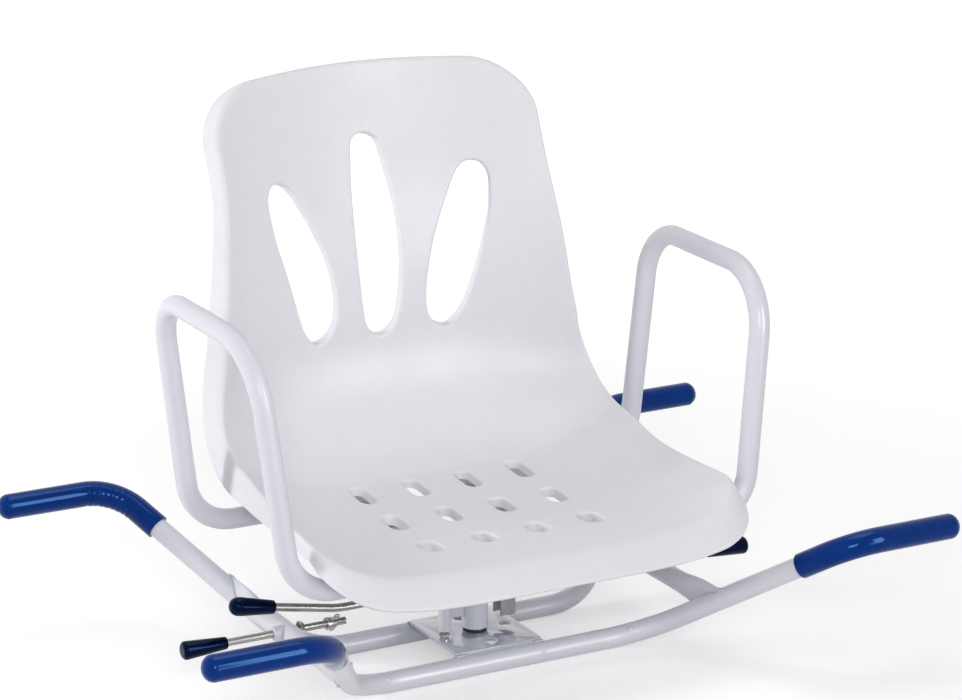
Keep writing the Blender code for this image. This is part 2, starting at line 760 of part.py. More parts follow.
def lever_corners():
    slope = math.tan(LEVER_SLOPE)
    tip_z = LEVER_Z + (LEVER_BEND_X - LEVER_TIP_X) * slope
    bend = Vector((LEVER_BEND_X, LEVER_Y, LEVER_Z))
    return Vector((LEVER_INNER_X, LEVER_Y, LEVER_Z)), bend, Vector((LEVER_TIP_X, LEVER_Y, tip_z))


def knob_profile(large, small, length, bore, hold, face=0.0):
    """A tapered handle with a rounded outer end and a blind bore at the inner one."""
    radius = large / 2
    nose = radius - face / 2
    profile = [(0, length)]
    for step in range(1 if face == 0 else 0, 5):
        angle = math.pi / 2 * step / 4
        profile.append((face / 2 + nose * math.sin(angle), length - nose * (1 - math.cos(angle))))
    round_inner = 0.0015
    profile.append((small / 2, round_inner))
    profile.append((small / 2 - round_inner, 0))
    profile.append((bore, 0))
    profile.append((bore, hold))
    profile.append((0, hold))
    return profile


def make_lever():
    inner, bend, tip = lever_corners()
    outward = (tip - bend).normalized()
    foot = tip - outward * KNOB_LENGTH
    rod_end = foot + outward * KNOB_HOLD
    path = bend_path([inner, bend, rod_end], [LEVER_BEND_RADIUS * 3])
    lever = tube("lever_rod", path, LEVER_DIAMETER / 2, ZINC)
    bore = LEVER_DIAMETER / 2 + GAP
    profile = knob_profile(KNOB_LARGE, KNOB_SMALL, KNOB_LENGTH, bore, KNOB_HOLD + GAP)
    knob = turned("lever_knob", profile, foot, outward, BLACK_PLASTIC, sides=20)
    yoke = make_yoke()
    hang(pivot("lever_pivot", (PIVOT_X, 0, LEVER_Z)), lever, knob, yoke)


def make_yoke():
    """A flat ring round the post: the rod joins its left end, a barrel turns at its right."""
    hole = POST_R + YOKE_CLEARANCE
    outer = hole + YOKE_RING
    left = -INDEX_RADIUS - PIN_DIAMETER - YOKE_PAD_EDGE
    front = LEVER_Y - LEVER_DIAMETER / 2 - YOKE_PAD_LIP
    inner_width = BRACKET_WIDTH - 2 * BRACKET_WALL - 2 * GAP
    tongue = inner_width / 2 - YOKE_TONGUE_INSET
    outline = [(left, front)]
    tongue_turn = math.asin(tongue / outer)
    outline += arc(outer, math.pi + math.asin(-front / outer), 2 * math.pi - tongue_turn, 7)
    outline += [(PIVOT_X, -tongue), (PIVOT_X, tongue)]
    outline += arc(outer, tongue_turn, math.pi - math.asin(-front / 2 / outer), 10)
    outline += [(left, -front / 2)]
    low, high = YOKE_BOTTOM, YOKE_TOP
    yoke = prism("lever_yoke", outline, low, high, finish=DARK_STEEL)
    ends = [(PIVOT_X, side * inner_width / 2, LEVER_Z) for side in (-1, 1)]
    join(yoke, rod("yoke_barrel", *ends, BARREL_DIAMETER, sides=20))
    ends = [(PIVOT_X, side * BRACKET_WIDTH, LEVER_Z) for side in (-1, 1)]
    cut(
        yoke,
        rod("yoke_post_hole", (0, 0, low - CUT_PAST), (0, 0, high + CUT_PAST), 2 * hole),
        rod(
            "yoke_pin_hole",
            (-INDEX_RADIUS, 0, low - CUT_PAST),
            (-INDEX_RADIUS, 0, high + CUT_PAST),
            PIN_DIAMETER + 2 * YOKE_PIN_CLEARANCE,
        ),
        rod("yoke_pivot_hole", *ends, PIVOT_PIN_DIAMETER + 2 * GAP, sides=16),
    )
    return yoke


def make_bracket():
    """A channel under the swivel plate, open to the post, that carries the lever's pivot pin."""
    half = BRACKET_WIDTH / 2
    left, right = PIVOT_X - half, PIVOT_X + half
    top = SWIVEL_PLATE_BOTTOM - GAP
    bracket = box("pivot_bracket", (left, -half, BRACKET_BOTTOM), (right, half, top), DARK_STEEL)
    inside = box(
        "bracket_inside",
        (left - BRACKET_WALL, -half + BRACKET_WALL, BRACKET_BOTTOM - CUT_PAST),
        (right - BRACKET_WALL, half - BRACKET_WALL, top + CUT_PAST),
    )
    taper = box("bracket_taper", (-0.020, -BRACKET_WIDTH, -0.030), (0, BRACKET_WIDTH, 0.030))
    taper.location = (left, 0, BRACKET_BOTTOM)
    taper.rotation_euler = (0, math.radians(-22), 0)
    ends = [(PIVOT_X, side * BRACKET_WIDTH, LEVER_Z) for side in (-1, 1)]
    cut(bracket, inside, taper, rod("bracket_pin_hole", *ends, PIVOT_PIN_DIAMETER + 2 * GAP, sides=16))
    head = 0.0016
    radius = PIVOT_PIN_DIAMETER / 2
    reach = half + GAP
    rim = radius + 0.0015
    profile = [(0, reach + head), (rim, reach + head), (rim, reach), (radius, reach)]
    profile += [(r, -along) for r, along in reversed(profile)]
    turned("pivot_pin", profile, (PIVOT_X, 0, LEVER_Z), (0, 1, 0), ZINC, sides=16)


# Side adjusters
def make_adjuster(name, side):
    """Rod with a soft tip and a wing nut, and the boss and nut that hold it to the cross tube."""
    out = Vector((side, 0, 0))
    axis = Vector((0, 0, ADJUSTER_Z))
    bore = ADJUSTER_ROD / 2 + GAP
    foot = axis + out * (ADJUSTER_REACH - TIP_LENGTH)
    profile = knob_profile(TIP_LARGE, TIP_SMALL, TIP_LENGTH, bore, TIP_HOLD + GAP, TIP_FACE)
    tip = turned(f"adjuster_tip_{name}", profile, foot, out, BLACK_PLASTIC, sides=20)
    ends = axis + out * ADJUSTER_INNER_X, foot + out * TIP_HOLD
    bar = rod(f"adjuster_rod_{name}", *ends, ADJUSTER_ROD, ZINC, sides=20)
    hang(pivot(f"adjuster_slide_{name}", foot), tip, bar)

    outer = CROSS_X + TUBE_R + BOSS_LENGTH
    ends = axis + out * CROSS_X, axis + out * outer
    boss = rod(f"rod_boss_{name}", *ends, BOSS_DIAMETER, WHITE_PAINT, sides=20)
    reach = BOSS_DIAMETER
    tube_clearance = rod(
        f"boss_cope_{name}",
        (side * CROSS_X, -reach, CROSS_Z),
        (side * CROSS_X, reach, CROSS_Z),
        TUBE_DIAMETER + 2 * GAP,
    )
    through = [axis + out * (CROSS_X - TUBE_DIAMETER), axis + out * (outer + CUT_PAST)]
    cut(boss, tube_clearance, rod(f"boss_bore_{name}", *through, 2 * bore, sides=20))

    nut_outer = CROSS_X - TUBE_R - GAP
    nut_inner = nut_outer - INNER_NUT_THICK
    nut_ends = [axis + out * nut_inner, axis + out * nut_outer]
    nut = hexagon(f"inner_nut_{name}", INNER_NUT_ACROSS, *nut_ends, ZINC)
    through = [axis + out * (nut_inner - CUT_PAST), axis + out * (nut_outer + CUT_PAST)]
    cut(nut, rod(f"inner_nut_bore_{name}", *through, 2 * bore, sides=20))
    make_wing_nut(name, side, axis + out * WING_NUT_X, bore)


def make_wing_nut(name, side, centre, bore):
    """A tapered hub with two upswept wings, turned a little from upright as it was left."""
    half = WING_HUB_LENGTH / 2
    radius = WING_HUB_DIAMETER / 2
    profile = [
        (bore, -half),
        (bore, half),
        (radius, half),
        (radius * 0.86, -half),
        (bore, -half),
    ]
    hub = turned(f"wing_nut_{name}", profile, centre, (side, 0, 0), ZINC, sides=20)
    hub = freeze_placed(hub, ZINC)
    for turn in (0, math.pi):
        hub_wing = make_wing(f"wing_{name}_{'up' if turn == 0 else 'down'}", radius)
        facing = Matrix.Rotation(WING_TURN + turn, 4, "X") @ Matrix.Diagonal((-side, 1, 1, 1))
        hub_wing.data.transform(Matrix.Translation(centre) @ facing)
        if side > 0:
            hub_wing.data.flip_normals()
        join(hub, hub_wing)
    clear = rod(
        f"wing_bore_{name}",
        centre - Vector((WING_REACH * 2, 0, 0)),
        centre + Vector((WING_REACH * 2, 0, 0)),
        2 * bore,
        sides=20,
    )
    cut(hub, clear)
    hang(pivot(f"wing_axis_{name}", centre), hub)


def freeze_placed(item, finish):
    """Freeze an object whose place is in its location and rotation."""
    bpy.context.view_layer.update()
    fresh = freeze(item, finish)
    fresh.data.transform(fresh.matrix_world)
    fresh.matrix_world = Matrix.Identity(4)
    return fresh


def make_wing(name, hub_radius):
    """One wing as a flat rounded outline that leans inward, in the plane through the axis."""
    curve = bpy.data.curves.new(name, "CURVE")
    curve.dimensions = "2D"
    curve.fill_mode = "BOTH"
    curve.extrude = WING_THICK / 2
    lean = 0.0040
    tip_radius = 0.0028
    outline = [(-0.0035, hub_radius * 0.5), (0.0035, hub_radius * 0.5)]
    tip_centre = Vector((lean, WING_REACH - tip_radius))
    for step in range(6):
        angle = math.radians(-15 + 42 * step)
        outline.append(tuple(tip_centre + tip_radius * Vector((math.cos(angle), math.sin(angle)))))
    spline = curve.splines.new("POLY")
    spline.points.add(len(outline) - 1)
    for target, (along, out) in zip(spline.points, outline):
        target.co = (along, out, 0, 1)
    spline.use_cyclic_u = True
    wing = freeze(add_object(name, curve))
    wing.data.transform(Matrix.Rotation(math.pi / 2, 4, "X"))
    return wing


# Seat shell
BEND_START = SEAT_LENGTH
BEND_LENGTH = SEAT_BEND_RADIUS * SEAT_BEND_TURN
BACK_START = BEND_START + BEND_LENGTH
PROFILE = (
    (SEAT_LENGTH, 0.0),
    (BEND_LENGTH, SEAT_BEND_TURN),
    (-LUMBAR_RADIUS * LUMBAR_TURN, LUMBAR_TURN),
    (BACK_STRAIGHT, 0.0),
    (BACK_TOP, BACK_TOP_TURN),
)
SHELL_LENGTH = sum(length for length, _ in PROFILE)

# Cross sections of the shell: place along the centre line, half width at the crest, height of
# the crest over the centre line, how late across the width the side rises, depth of the lip
SECTIONS = (
    (0.000, 0.206, 0.025, 5.0, 0.021),
    (BEND_START * 0.64, 0.195, 0.030, 4.6, 0.024),
    (BEND_START, 0.194, 0.046, 4.0, 0.032),
    (BACK_START - BEND_LENGTH / 2, 0.190, 0.052, 3.4, 0.037),
    (BACK_START, 0.180, 0.050, 2.9, 0.036),
    (BACK_START + 0.035, 0.175, 0.042, 2.6, 0.032),
    (BACK_START + 0.090, 0.1685, 0.039, 2.3, 0.026),
    (BACK_START + 0.150, 0.1615, 0.041, 2.1, 0.023),
    (SHELL_LENGTH, 0.161, 0.036, 1.9, 0.032),
)
LIP_OUT_SIDE = 0.006
LIP_OUT_FRONT = 0.028
LIP_OUT_TOP = 0.008
LIP_ROLL = 0.009
LIP_FRONT_DROP = 0.023
LIP_TOP_DROP = 0.005
LEG_GROOVE = 0.004
LEG_GROOVE_WIDTH = 0.011


def section_at(along):
    """The section's values at a place along the centre line, on a smooth curve through all."""
    stations = [section[0] for section in SECTIONS]
    last = len(SECTIONS) - 2
    i = max(k for k in range(last + 1) if k == 0 or stations[k] <= along)
    span = stations[i + 1] - stations[i]
    share = min(max((along - stations[i]) / span, 0.0), 1.0)
    values = []
    for k in range(1, 5):
        here, there = SECTIONS[i][k], SECTIONS[i + 1][k]
        slopes = []
        for j in (i, i + 1):
            low, high = max(j - 1, 0), min(j + 1, len(SECTIONS) - 1)
            slope = (SECTIONS[high][k] - SECTIONS[low][k]) / (stations[high] - stations[low])
            slopes.append(slope * span)
        cube, square = share ** 3, share ** 2
        value = (2 * cube - 3 * square + 1) * here + (cube - 2 * square + share) * slopes[0]
        value += (3 * square - 2 * cube) * there + (cube - square) * slopes[1]
        values.append(value)
    return values


def centre_at(along):
    """Point, direction and sitter's-side normal of the shell's centre line."""
    point = Vector((0, SEAT_FRONT_Y, SEAT_Z))
    heading = 0.0
    left = along
    for i, (length, turn) in enumerate(PROFILE):
        run = left if i == len(PROFILE) - 1 else min(left, length)
        swept = turn * run / length
        middle = heading + swept / 2
        chord = run * (math.sin(swept / 2) / (swept / 2) if swept else 1.0)
        point = point + Vector((0, math.cos(middle), math.sin(middle))) * chord
        heading += swept
        left -= run
        if left <= 0:
            break
    direction = Vector((0, math.cos(heading), math.sin(heading)))
    return point, direction, Vector((0, -math.sin(heading), math.cos(heading)))


def shell_point(across, along):
    """The sitter's side of the shell: across is a real distance from the centre line."""
    width, rise, power, _ = section_at(along)
    point, _, normal = centre_at(along)
    share = min(abs(across) / width, 1.2)
    return point + Vector((across, 0, 0)) + normal * rise * share ** power


def shell_normal(across, along):
    step = 0.0005
    over = shell_point(across + step, along) - shell_point(across - step, along)
    up = shell_point(across, along + step) - shell_point(across, along - step)
    return over.cross(up).normalized()


def round_corner(across, along, corner_across, corner_along):
    """Move a point of the unit square onto the same ring of a square with round corners."""
    ring_size = max(abs(across), abs(along))
    if ring_size < 1e-9:
        return 0.0, 0.0
    x, y = abs(across) / ring_size, abs(along) / ring_size
    cx, cy = corner_across * ring_size, corner_along * ring_size
    if x > 1 - cx and y > 1 - cy:
        path = y - (1 - cy) if x >= y else cy + (1 - x)
        angle = path / (cx + cy) * math.pi / 2
        x = 1 - cx + cx * math.cos(angle)
        y = 1 - cy + cy * math.sin(angle)
    return math.copysign(x * ring_size, across), math.copysign(y * ring_size, along)


def shell_place(u, v):
    """Map the unit square to the shell's own plan: distance across and along."""
    corner = TOP_CORNER if v > 0 else FRONT_CORNER
    width = section_at(SHELL_LENGTH if v > 0 else 0.0)[0]
    u, v = round_corner(u, v, corner / width, corner / (SHELL_LENGTH / 2))
    along = SHELL_LENGTH * (v + 1) / 2
    width = section_at(along)[0]
    across = u * width
    arch = TOP_ARCH * blend((along - BACK_START) / (SHELL_LENGTH - BACK_START))
    return across, along - arch * u * u


def lip_targets(along, outward, direction):
    """How far the lip goes out and down from the crest at this place on the rim."""
    _, _, _, depth = section_at(along)
    front = max(0.0, -outward.dot(direction))
    top = max(0.0, outward.dot(direction)) ** 8
    if along > SHELL_LENGTH / 2:
        front = 0.0
    else:
        top = 0.0
    side = 1 - front - top
    out = LIP_OUT_SIDE * side + LIP_OUT_FRONT * front + LIP_OUT_TOP * top
    drop = depth * side + LIP_FRONT_DROP * front + LIP_TOP_DROP * top
    return out, drop


def leg_groove(point):
    """How far the lip is drawn in where an arm's leg passes it."""
    amount = 0.0
    for y in (ARM_FRONT_Y, ARM_REAR_Y):
        amount += math.exp(-((point.y - y) / LEG_GROOVE_WIDTH) ** 2)
    low = blend((0.30 - point.z) / 0.06)
    return LEG_GROOVE * amount * low


def make_shell_skin():
    """An open sheet: the dished panel, then rings of faces rolled out and down all round it."""
    shape = bmesh.new()
    bmesh.ops.create_grid(shape, x_segments=SHELL_ACROSS, y_segments=SHELL_ALONG, size=1.0)
    places = {}
    for vertex in shape.verts:
        across, along = shell_place(vertex.co.x, vertex.co.y)
        places[vertex.index] = (across, along)
        vertex.co = shell_point(across, along)
    shape.verts.ensure_lookup_table()
    rim = [edge for edge in shape.edges if edge.is_boundary]
    loop = ordered_loop(rim)
    curves = []
    for i, vertex in enumerate(loop):
        across, along = places[vertex.index]
        normal = shell_normal(across, along)
        tangent = (loop[(i + 1) % len(loop)].co - loop[i - 1].co).normalized()
        outward = tangent.cross(normal)
        inner = shell_point(across * 0.9, SHELL_LENGTH / 2 + (along - SHELL_LENGTH / 2) * 0.95)
        if outward.dot(vertex.co - inner) < 0:
            outward = -outward
        _, direction, reference = centre_at(along)
        flat = (outward - reference * outward.dot(reference)).normalized()
        out, drop = lip_targets(along, flat, direction)
        out -= leg_groove(vertex.co)
        start = vertex.co.copy()
        middle = start + outward * LIP_ROLL
        end = start + flat * out - reference * drop
        curves.append((start, middle, end))
    previous = loop
    for ring_number in range(1, LIP_RINGS + 1):
        share = ring_number / LIP_RINGS
        fresh = []
        for start, middle, end in curves:
            place = start * (1 - share) ** 2 + middle * 2 * share * (1 - share) + end * share ** 2
            fresh.append(shape.verts.new(place))
        for i in range(len(loop)):
            j = (i + 1) % len(loop)
            shape.faces.new((previous[i], previous[j], fresh[j], fresh[i]))
        previous = fresh
    bmesh.ops.recalc_face_normals(shape, faces=shape.faces)
    seat_middle = Vector((0, 0, SEAT_Z))
    middle_face = min(shape.faces, key=lambda face: (face.calc_center_median() - seat_middle).length)
    if middle_face.normal.z < 0:
        bmesh.ops.reverse_faces(shape, faces=shape.faces)
    mesh = bpy.data.meshes.new("seat_shell")
    shape.to_mesh(mesh)
    shape.free()
    mesh.shade_smooth()
    return mesh


def ordered_loop(edges):
    """The vertices of one closed ring of edges, in order."""
    start = edges[0].verts[0]
    loop = [start]
    edge = edges[0]
    vertex = edge.other_vert(start)
    while vertex is not start:
        loop.append(vertex)
        edge = next(e for e in vertex.link_edges if e.is_boundary and e is not edge)
        vertex = edge.other_vert(vertex)
    return loop


# Back slots, seen from the front, from the top down: height, inner edge and outer edge
MIDDLE_SLOT = (
    (0.4405, 0.0, 0.0),
    (0.4380, -0.0090, 0.0090),
    (0.4310, -0.0138, 0.0138),
    (0.4110, -0.0173, 0.0173),
    (0.3860, -0.0207, 0.0207),
    (0.3600, -0.0226, 0.0226),
    (0.3350, -0.0228, 0.0228),
    (0.3100, -0.0218, 0.0218),
    (0.2870, -0.0195, 0.0195),
    (0.2680, -0.0160, 0.0160),
    (0.2570, -0.0090, 0.0090),
    (0.2535, 0.0, 0.0),
)
SIDE_SLOT = (
    (0.4090, 0.1002, 0.1002),
    (0.4060, 0.0905, 0.1085),
    (0.3960, 0.0820, 0.1130),
    (0.3800, 0.0735, 0.1125),
    (0.3600, 0.0640, 0.1095),
    (0.3400, 0.0560, 0.1040),
    (0.3200, 0.0505, 0.0983),
    (0.3000, 0.0470, 0.0925),
    (0.2850, 0.0465, 0.0880),
    (0.2700, 0.0485, 0.0823),
    (0.2590, 0.0550, 0.0745),
    (0.2540, 0.0662, 0.0662),
)
SLOT_CUT_Y = (0.10, 0.28)


def slot_outline(rows, side):
    """The slot's outline: down its inner edge and up its outer one."""
    inner = [(side * row[1], row[0]) for row in rows]
    outer = [(side * row[2], row[0]) for row in rows[-2:0:-1]]
    return inner + outer


def arc(radius, start, end, steps):
    """Points of an arc about the origin, both ends included."""
    angles = [start + (end - start) * i / steps for i in range(steps + 1)]
    return [(radius * math.cos(angle), radius * math.sin(angle)) for angle in angles]


def prism(name, outline, low, high, upright=False, finish=None):
    """A flat outline given thickness along Z, or along Y when it stands upright."""
    curve = bpy.data.curves.new(name, "CURVE")
    curve.dimensions = "2D"
    curve.fill_mode = "BOTH"
    curve.extrude = (high - low) / 2
    spline = curve.splines.new("POLY")
    spline.points.add(len(outline) - 1)
    for target, point in zip(spline.points, outline):
        target.co = (point[0], point[1], 0, 1)
    spline.use_cyclic_u = True
    item = freeze(add_object(name, curve, finish), finish)
    if upright:
        item.data.transform(Matrix.Rotation(math.pi / 2, 4, "X"))
        item.data.transform(Matrix.Translation((0, (low + high) / 2, 0)))
    else:
        item.data.transform(Matrix.Translation((0, 0, (low + high) / 2)))
    return item


def drain_outline(x, y):
    """A round-ended slot along Y."""
    radius = DRAIN_WIDTH / 2
    reach = DRAIN_LENGTH / 2 - radius
    outline = []
    for end in (1, -1):
        for i in range(6):
            angle = math.pi * i / 5 + (0 if end > 0 else math.pi)
            outline.append((x + radius * math.cos(angle), y + end * reach + radius * math.sin(angle)))
    return outline


def make_seat_shell():
    shell = add_object("seat_shell", make_shell_skin(), WHITE_PLASTIC)
    wall = shell.modifiers.new("wall", "SOLIDIFY")
    wall.thickness = SHELL_WALL
    wall.offset = -1
    wall.use_even_offset = True
    shell = freeze(shell, WHITE_PLASTIC)
    foot = SEAT_RAIL_TOP + GAP
    for x in (-SEAT_RAIL_X, SEAT_RAIL_X):
        for y in BOSS_Y:
            label = f"{'left' if x < 0 else 'right'}_{BOSS_Y.index(y) + 1}"
            head = SEAT_Z - SHELL_WALL / 2
            join(shell, rod(f"seat_boss_{label}", (x, y, foot), (x, y, head), SEAT_BOSS_DIAMETER, sides=20))
            ends = (x, y, foot - CUT_PAST), (x, y, SEAT_RAIL_BOTTOM + SEAT_BOLT_LENGTH + GAP)
            cut(shell, rod(f"boss_bore_{label}", *ends, SEAT_BOLT + 2 * GAP, sides=16))
    cutters = []
    for y in DRAIN_Y:
        for x in (-DRAIN_X[1], -DRAIN_X[0], *DRAIN_X):
            low, high = SEAT_Z - 2 * SHELL_WALL, SEAT_Z + 5 * SHELL_WALL
            cutters.append(prism(f"drain_{len(cutters) + 1}", drain_outline(x, y), low, high))
    for name, rows, side in (
        ("slot_middle", MIDDLE_SLOT, 1),
        ("slot_left", SIDE_SLOT, -1),
        ("slot_right", SIDE_SLOT, 1),
    ):
        cutters.append(prism(name, slot_outline(rows, side), *SLOT_CUT_Y, upright=True))
    bpy.context.view_layer.update()
    cut(shell, joined_mesh("shell_openings", cutters))


def make_seat_bolts():
    """Four hexagon bolts up through the seat rails into the shell's bosses."""
    under = SEAT_RAIL_BOTTOM - GAP
    for x, side in ((-SEAT_RAIL_X, "left"), (SEAT_RAIL_X, "right")):
        for y, end in zip(BOSS_Y, ("front", "rear")):
            name = f"seat_bolt_{end}_{side}"
            low = under - SEAT_BOLT_HEAD_THICK
            head = hexagon(name, SEAT_BOLT_HEAD, (x, y, low), (x, y, under), ZINC)
            middle, high = under - SEAT_BOLT_HEAD_THICK / 2, under + SEAT_BOLT_LENGTH
            join(head, rod(f"{name}_shank", (x, y, middle), (x, y, high), SEAT_BOLT, sides=16))


clear_scene()
PARTS = new_collection("swivel_bath_seat")
CUTTERS = new_collection("cutters")
make_base()
make_base_plate()
make_spindle()
make_bearings()
make_carrier()
make_arms()
make_lock()
make_lever()
make_bracket()
make_adjuster("left", -1)
make_adjuster("right", 1)
make_seat_shell()
make_seat_bolts()
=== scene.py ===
from math import asin, atan2, copysign, cos, pi, radians, sin, sqrt, tan, tau

import bmesh
import bpy
from bmesh import ops
from mathutils import Matrix, Vector


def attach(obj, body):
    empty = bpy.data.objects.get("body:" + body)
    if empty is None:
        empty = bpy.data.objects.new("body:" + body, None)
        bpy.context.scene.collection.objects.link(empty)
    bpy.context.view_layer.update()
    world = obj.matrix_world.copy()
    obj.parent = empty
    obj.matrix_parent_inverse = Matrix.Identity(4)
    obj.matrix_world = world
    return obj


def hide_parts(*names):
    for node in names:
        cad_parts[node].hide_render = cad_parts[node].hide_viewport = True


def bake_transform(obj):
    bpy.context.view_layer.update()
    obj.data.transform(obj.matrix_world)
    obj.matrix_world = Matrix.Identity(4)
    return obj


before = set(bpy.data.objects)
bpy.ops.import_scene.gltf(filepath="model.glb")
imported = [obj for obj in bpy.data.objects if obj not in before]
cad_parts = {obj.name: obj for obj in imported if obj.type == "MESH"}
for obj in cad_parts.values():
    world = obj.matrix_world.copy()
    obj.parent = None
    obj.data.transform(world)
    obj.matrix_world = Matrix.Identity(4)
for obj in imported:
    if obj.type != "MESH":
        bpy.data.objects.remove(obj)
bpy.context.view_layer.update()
scene = bpy.context.scene
print("frame loaded:", len(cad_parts), "parts")

# fits, merge distances and tube sizes that several pieces share, in metres
fit = dict(running=0.0006, past=0.002, merge=2e-6, lastMerge=1e-6)
gap = 0.0003
tube = dict(diameter=0.019, sides=40, bendSteps=14, crease=radians(35))
tubeR = tube["diameter"] / 2
leftRight = (("left", -1), ("right", 1))
frontRear = (("front", -1), ("rear", 1))
shift = Matrix.Translation


# objects

def newObject(name, data):
    item = bpy.data.objects.new(name, data)
    scene.collection.objects.link(item)
    return item


def meshObject(name, bm):
    mesh = bpy.data.meshes.new(name)
    bm.to_mesh(mesh)
    bm.free()
    return newObject(name, mesh)


def withModifiers(item):
    # the object's mesh with its modifiers applied; the object itself goes
    view = bpy.context.evaluated_depsgraph_get()
    result = bpy.data.meshes.new_from_object(item.evaluated_get(view))
    bm = bmesh.new()
    bm.from_mesh(result)
    bpy.data.meshes.remove(result)
    discard(item)
    return bm


def discard(item):
    mesh = item.data
    bpy.data.objects.remove(item, do_unlink=True)
    bpy.data.meshes.remove(mesh)


def finishPiece(name, bm, body, look, stands=(), crease=tube["crease"]):
    # puts a finished bmesh in the scene, hangs it on its body's empty and hides the nodes it stands for
    ops.remove_doubles(bm, verts=bm.verts, dist=fit["lastMerge"])
    ops.recalc_face_normals(bm, faces=bm.faces)
    piece = meshObject(name, bm)
    piece.data.shade_smooth()
    piece.data.set_sharp_from_angle(angle=crease)
    piece.data.materials.append(finish[look])
    if body:
        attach(piece, body)
    if stands:
        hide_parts(*stands)
    return piece


def dress(node, tail, bm, body, look):
    # a piece that stands for one whole node
    return finishPiece(f"{node}_{tail}", bm, body, look, [node])


# paths and shapes

def bendPath(corners, radii, steps=tube["bendSteps"]):
    # straight runs with an arc at each inner corner; a radius of 0 keeps the corner
    corners = [Vector(c) for c in corners]
    points = [corners[0]]
    for i, radius in enumerate(radii, start=1):
        if not radius:
            points.append(corners[i])
            continue
        before = (corners[i - 1] - corners[i]).normalized()
        after = (corners[i + 1] - corners[i]).normalized()
        half = before.angle(after) / 2
        centre = corners[i] + (before + after).normalized() * radius / sin(half)
        first = corners[i] + before * radius / tan(half)
        axis = (first - centre).cross(-before)
        for k in range(steps + 1):
            turn = Matrix.Rotation((pi - 2 * half) * k / steps, 3, axis)
            points.append(centre + turn @ (first - centre))
    return points + [corners[-1]]


def pathEnd(points, length):
    # the last stretch of a path, from its end backwards
    kept, left = [points[-1]], length
    for here, there in zip(reversed(points[1:]), reversed(points[:-1])):
        step = (there - here).length
        if step >= left:
            return kept + [here.lerp(there, left / step)]
        kept.append(there)
        left -= step
    return kept


def pathFrames(points):
    # a place for each point, turned as little as possible from one to the next
    turn = Matrix.Identity(3)
    frames = []
    for i, point in enumerate(points):
        before = points[i] - points[i - 1] if i else points[1] - points[0]
        after = points[i + 1] - points[i] if i + 1 < len(points) else before
        along = (before.normalized() + after.normalized()).normalized()
        turn = (turn @ Vector((0, 0, 1))).rotation_difference(along).to_matrix() @ turn
        frames.append(shift(point) @ turn.to_4x4())
    return frames


def sized(place, wide, tall=None):
    return place @ Matrix.Diagonal((wide, tall or wide, 1, 1))


def lifted(place, height):
    return place @ shift((0, 0, height))


def facing(point, direction):
    # a place at a point with its Z along a direction
    turn = Vector((0, 0, 1)).rotation_difference(Vector(direction)).to_matrix().to_4x4()
    return shift(point) @ turn


def moved(bm, place):
    ops.transform(bm, matrix=place, verts=bm.verts)
    return bm


def newVerts(made):
    return [g for g in made["geom"] if isinstance(g, bmesh.types.BMVert)]


def closeRing(bm, ring, edges, how):
    if how == "point":
        middle = sum((v.co for v in ring), Vector()) / len(ring)
        ops.pointmerge(bm, verts=ring, merge_co=middle)
    elif how == "flat":
        ops.edgeloop_fill(bm, edges=edges)


def loft(places, sides=tube["sides"], start="flat", end="flat"):
    # a round ring carried through a list of places, each with its radius in its scale
    bm = bmesh.new()
    ring = ops.create_circle(bm, cap_ends=False, radius=1.0, segments=sides)["verts"]
    edges = list(dict.fromkeys(e for v in ring for e in v.link_edges))
    ops.transform(bm, matrix=places[0], verts=ring)
    firstRing, firstEdges = ring, edges
    for before, here in zip(places, places[1:]):
        made = ops.extrude_edge_only(bm, edges=edges)
        ring = newVerts(made)
        fresh = set(ring)
        edges = [g for g in made["geom"] if isinstance(g, bmesh.types.BMEdge) and fresh.issuperset(g.verts)]
        ops.transform(bm, matrix=here @ before.inverted(), verts=ring)
    closeRing(bm, ring, edges, end)
    closeRing(bm, firstRing, firstEdges, start)
    return bm


def sweep(points, radius, sides=tube["sides"]):
    return loft([sized(place, radius) for place in pathFrames(points)], sides)


def turned(profile, rounding=None, steps=40):
    # spins a chain of (radius, height) points about Z, with its corners rounded where asked
    bm = bmesh.new()
    points = [Vector((r, 0, z)) for r, z in profile]
    if rounding:
        points = bendPath(points, rounding, 4)
    chain = [bm.verts.new(p) for p in points]
    edges = [bm.edges.new(pair) for pair in zip(chain, chain[1:])]
    ops.spin(
        bm, geom=chain + edges, cent=(0, 0, 0), axis=(0, 0, 1), dvec=(0, 0, 0), angle=tau, steps=steps,
        use_merge=True, use_duplicate=False,
    )
    ops.remove_doubles(bm, verts=bm.verts, dist=fit["merge"])
    return bm


def block(low, high):
    bm = bmesh.new()
    low, high = Vector(low), Vector(high)
    ops.create_cube(bm, size=1.0, matrix=shift((low + high) / 2) @ Matrix.Diagonal((*(high - low), 1)))
    return bm


def roundBar(start, end, diameter, sides=tube["sides"], bm=None):
    # in a mesh of its own, or added to one
    bm = bmesh.new() if bm is None else bm
    start, end = Vector(start), Vector(end)
    ops.create_cone(
        bm, cap_ends=True, segments=sides, radius1=diameter / 2, radius2=diameter / 2,
        depth=(end - start).length, matrix=facing((start + end) / 2, end - start),
    )
    return bm


def pillar(x, y, low, high, diameter, sides=tube["sides"], bm=None):
    return roundBar((x, y, low), (x, y, high), diameter, sides, bm)


def slab(outline, low, high):
    # a flat outline given thickness along Z
    bm = bmesh.new()
    face = bm.faces.new([bm.verts.new((x, y, low)) for x, y in outline])
    made = ops.extrude_face_region(bm, geom=[face])
    ops.translate(bm, vec=(0, 0, high - low), verts=newVerts(made))
    ops.recalc_face_normals(bm, faces=bm.faces)
    return bm


def edgesAlong(bm, axis, least):
    return [e for e in bm.edges if abs(e.verts[0].co[axis] - e.verts[1].co[axis]) > least]


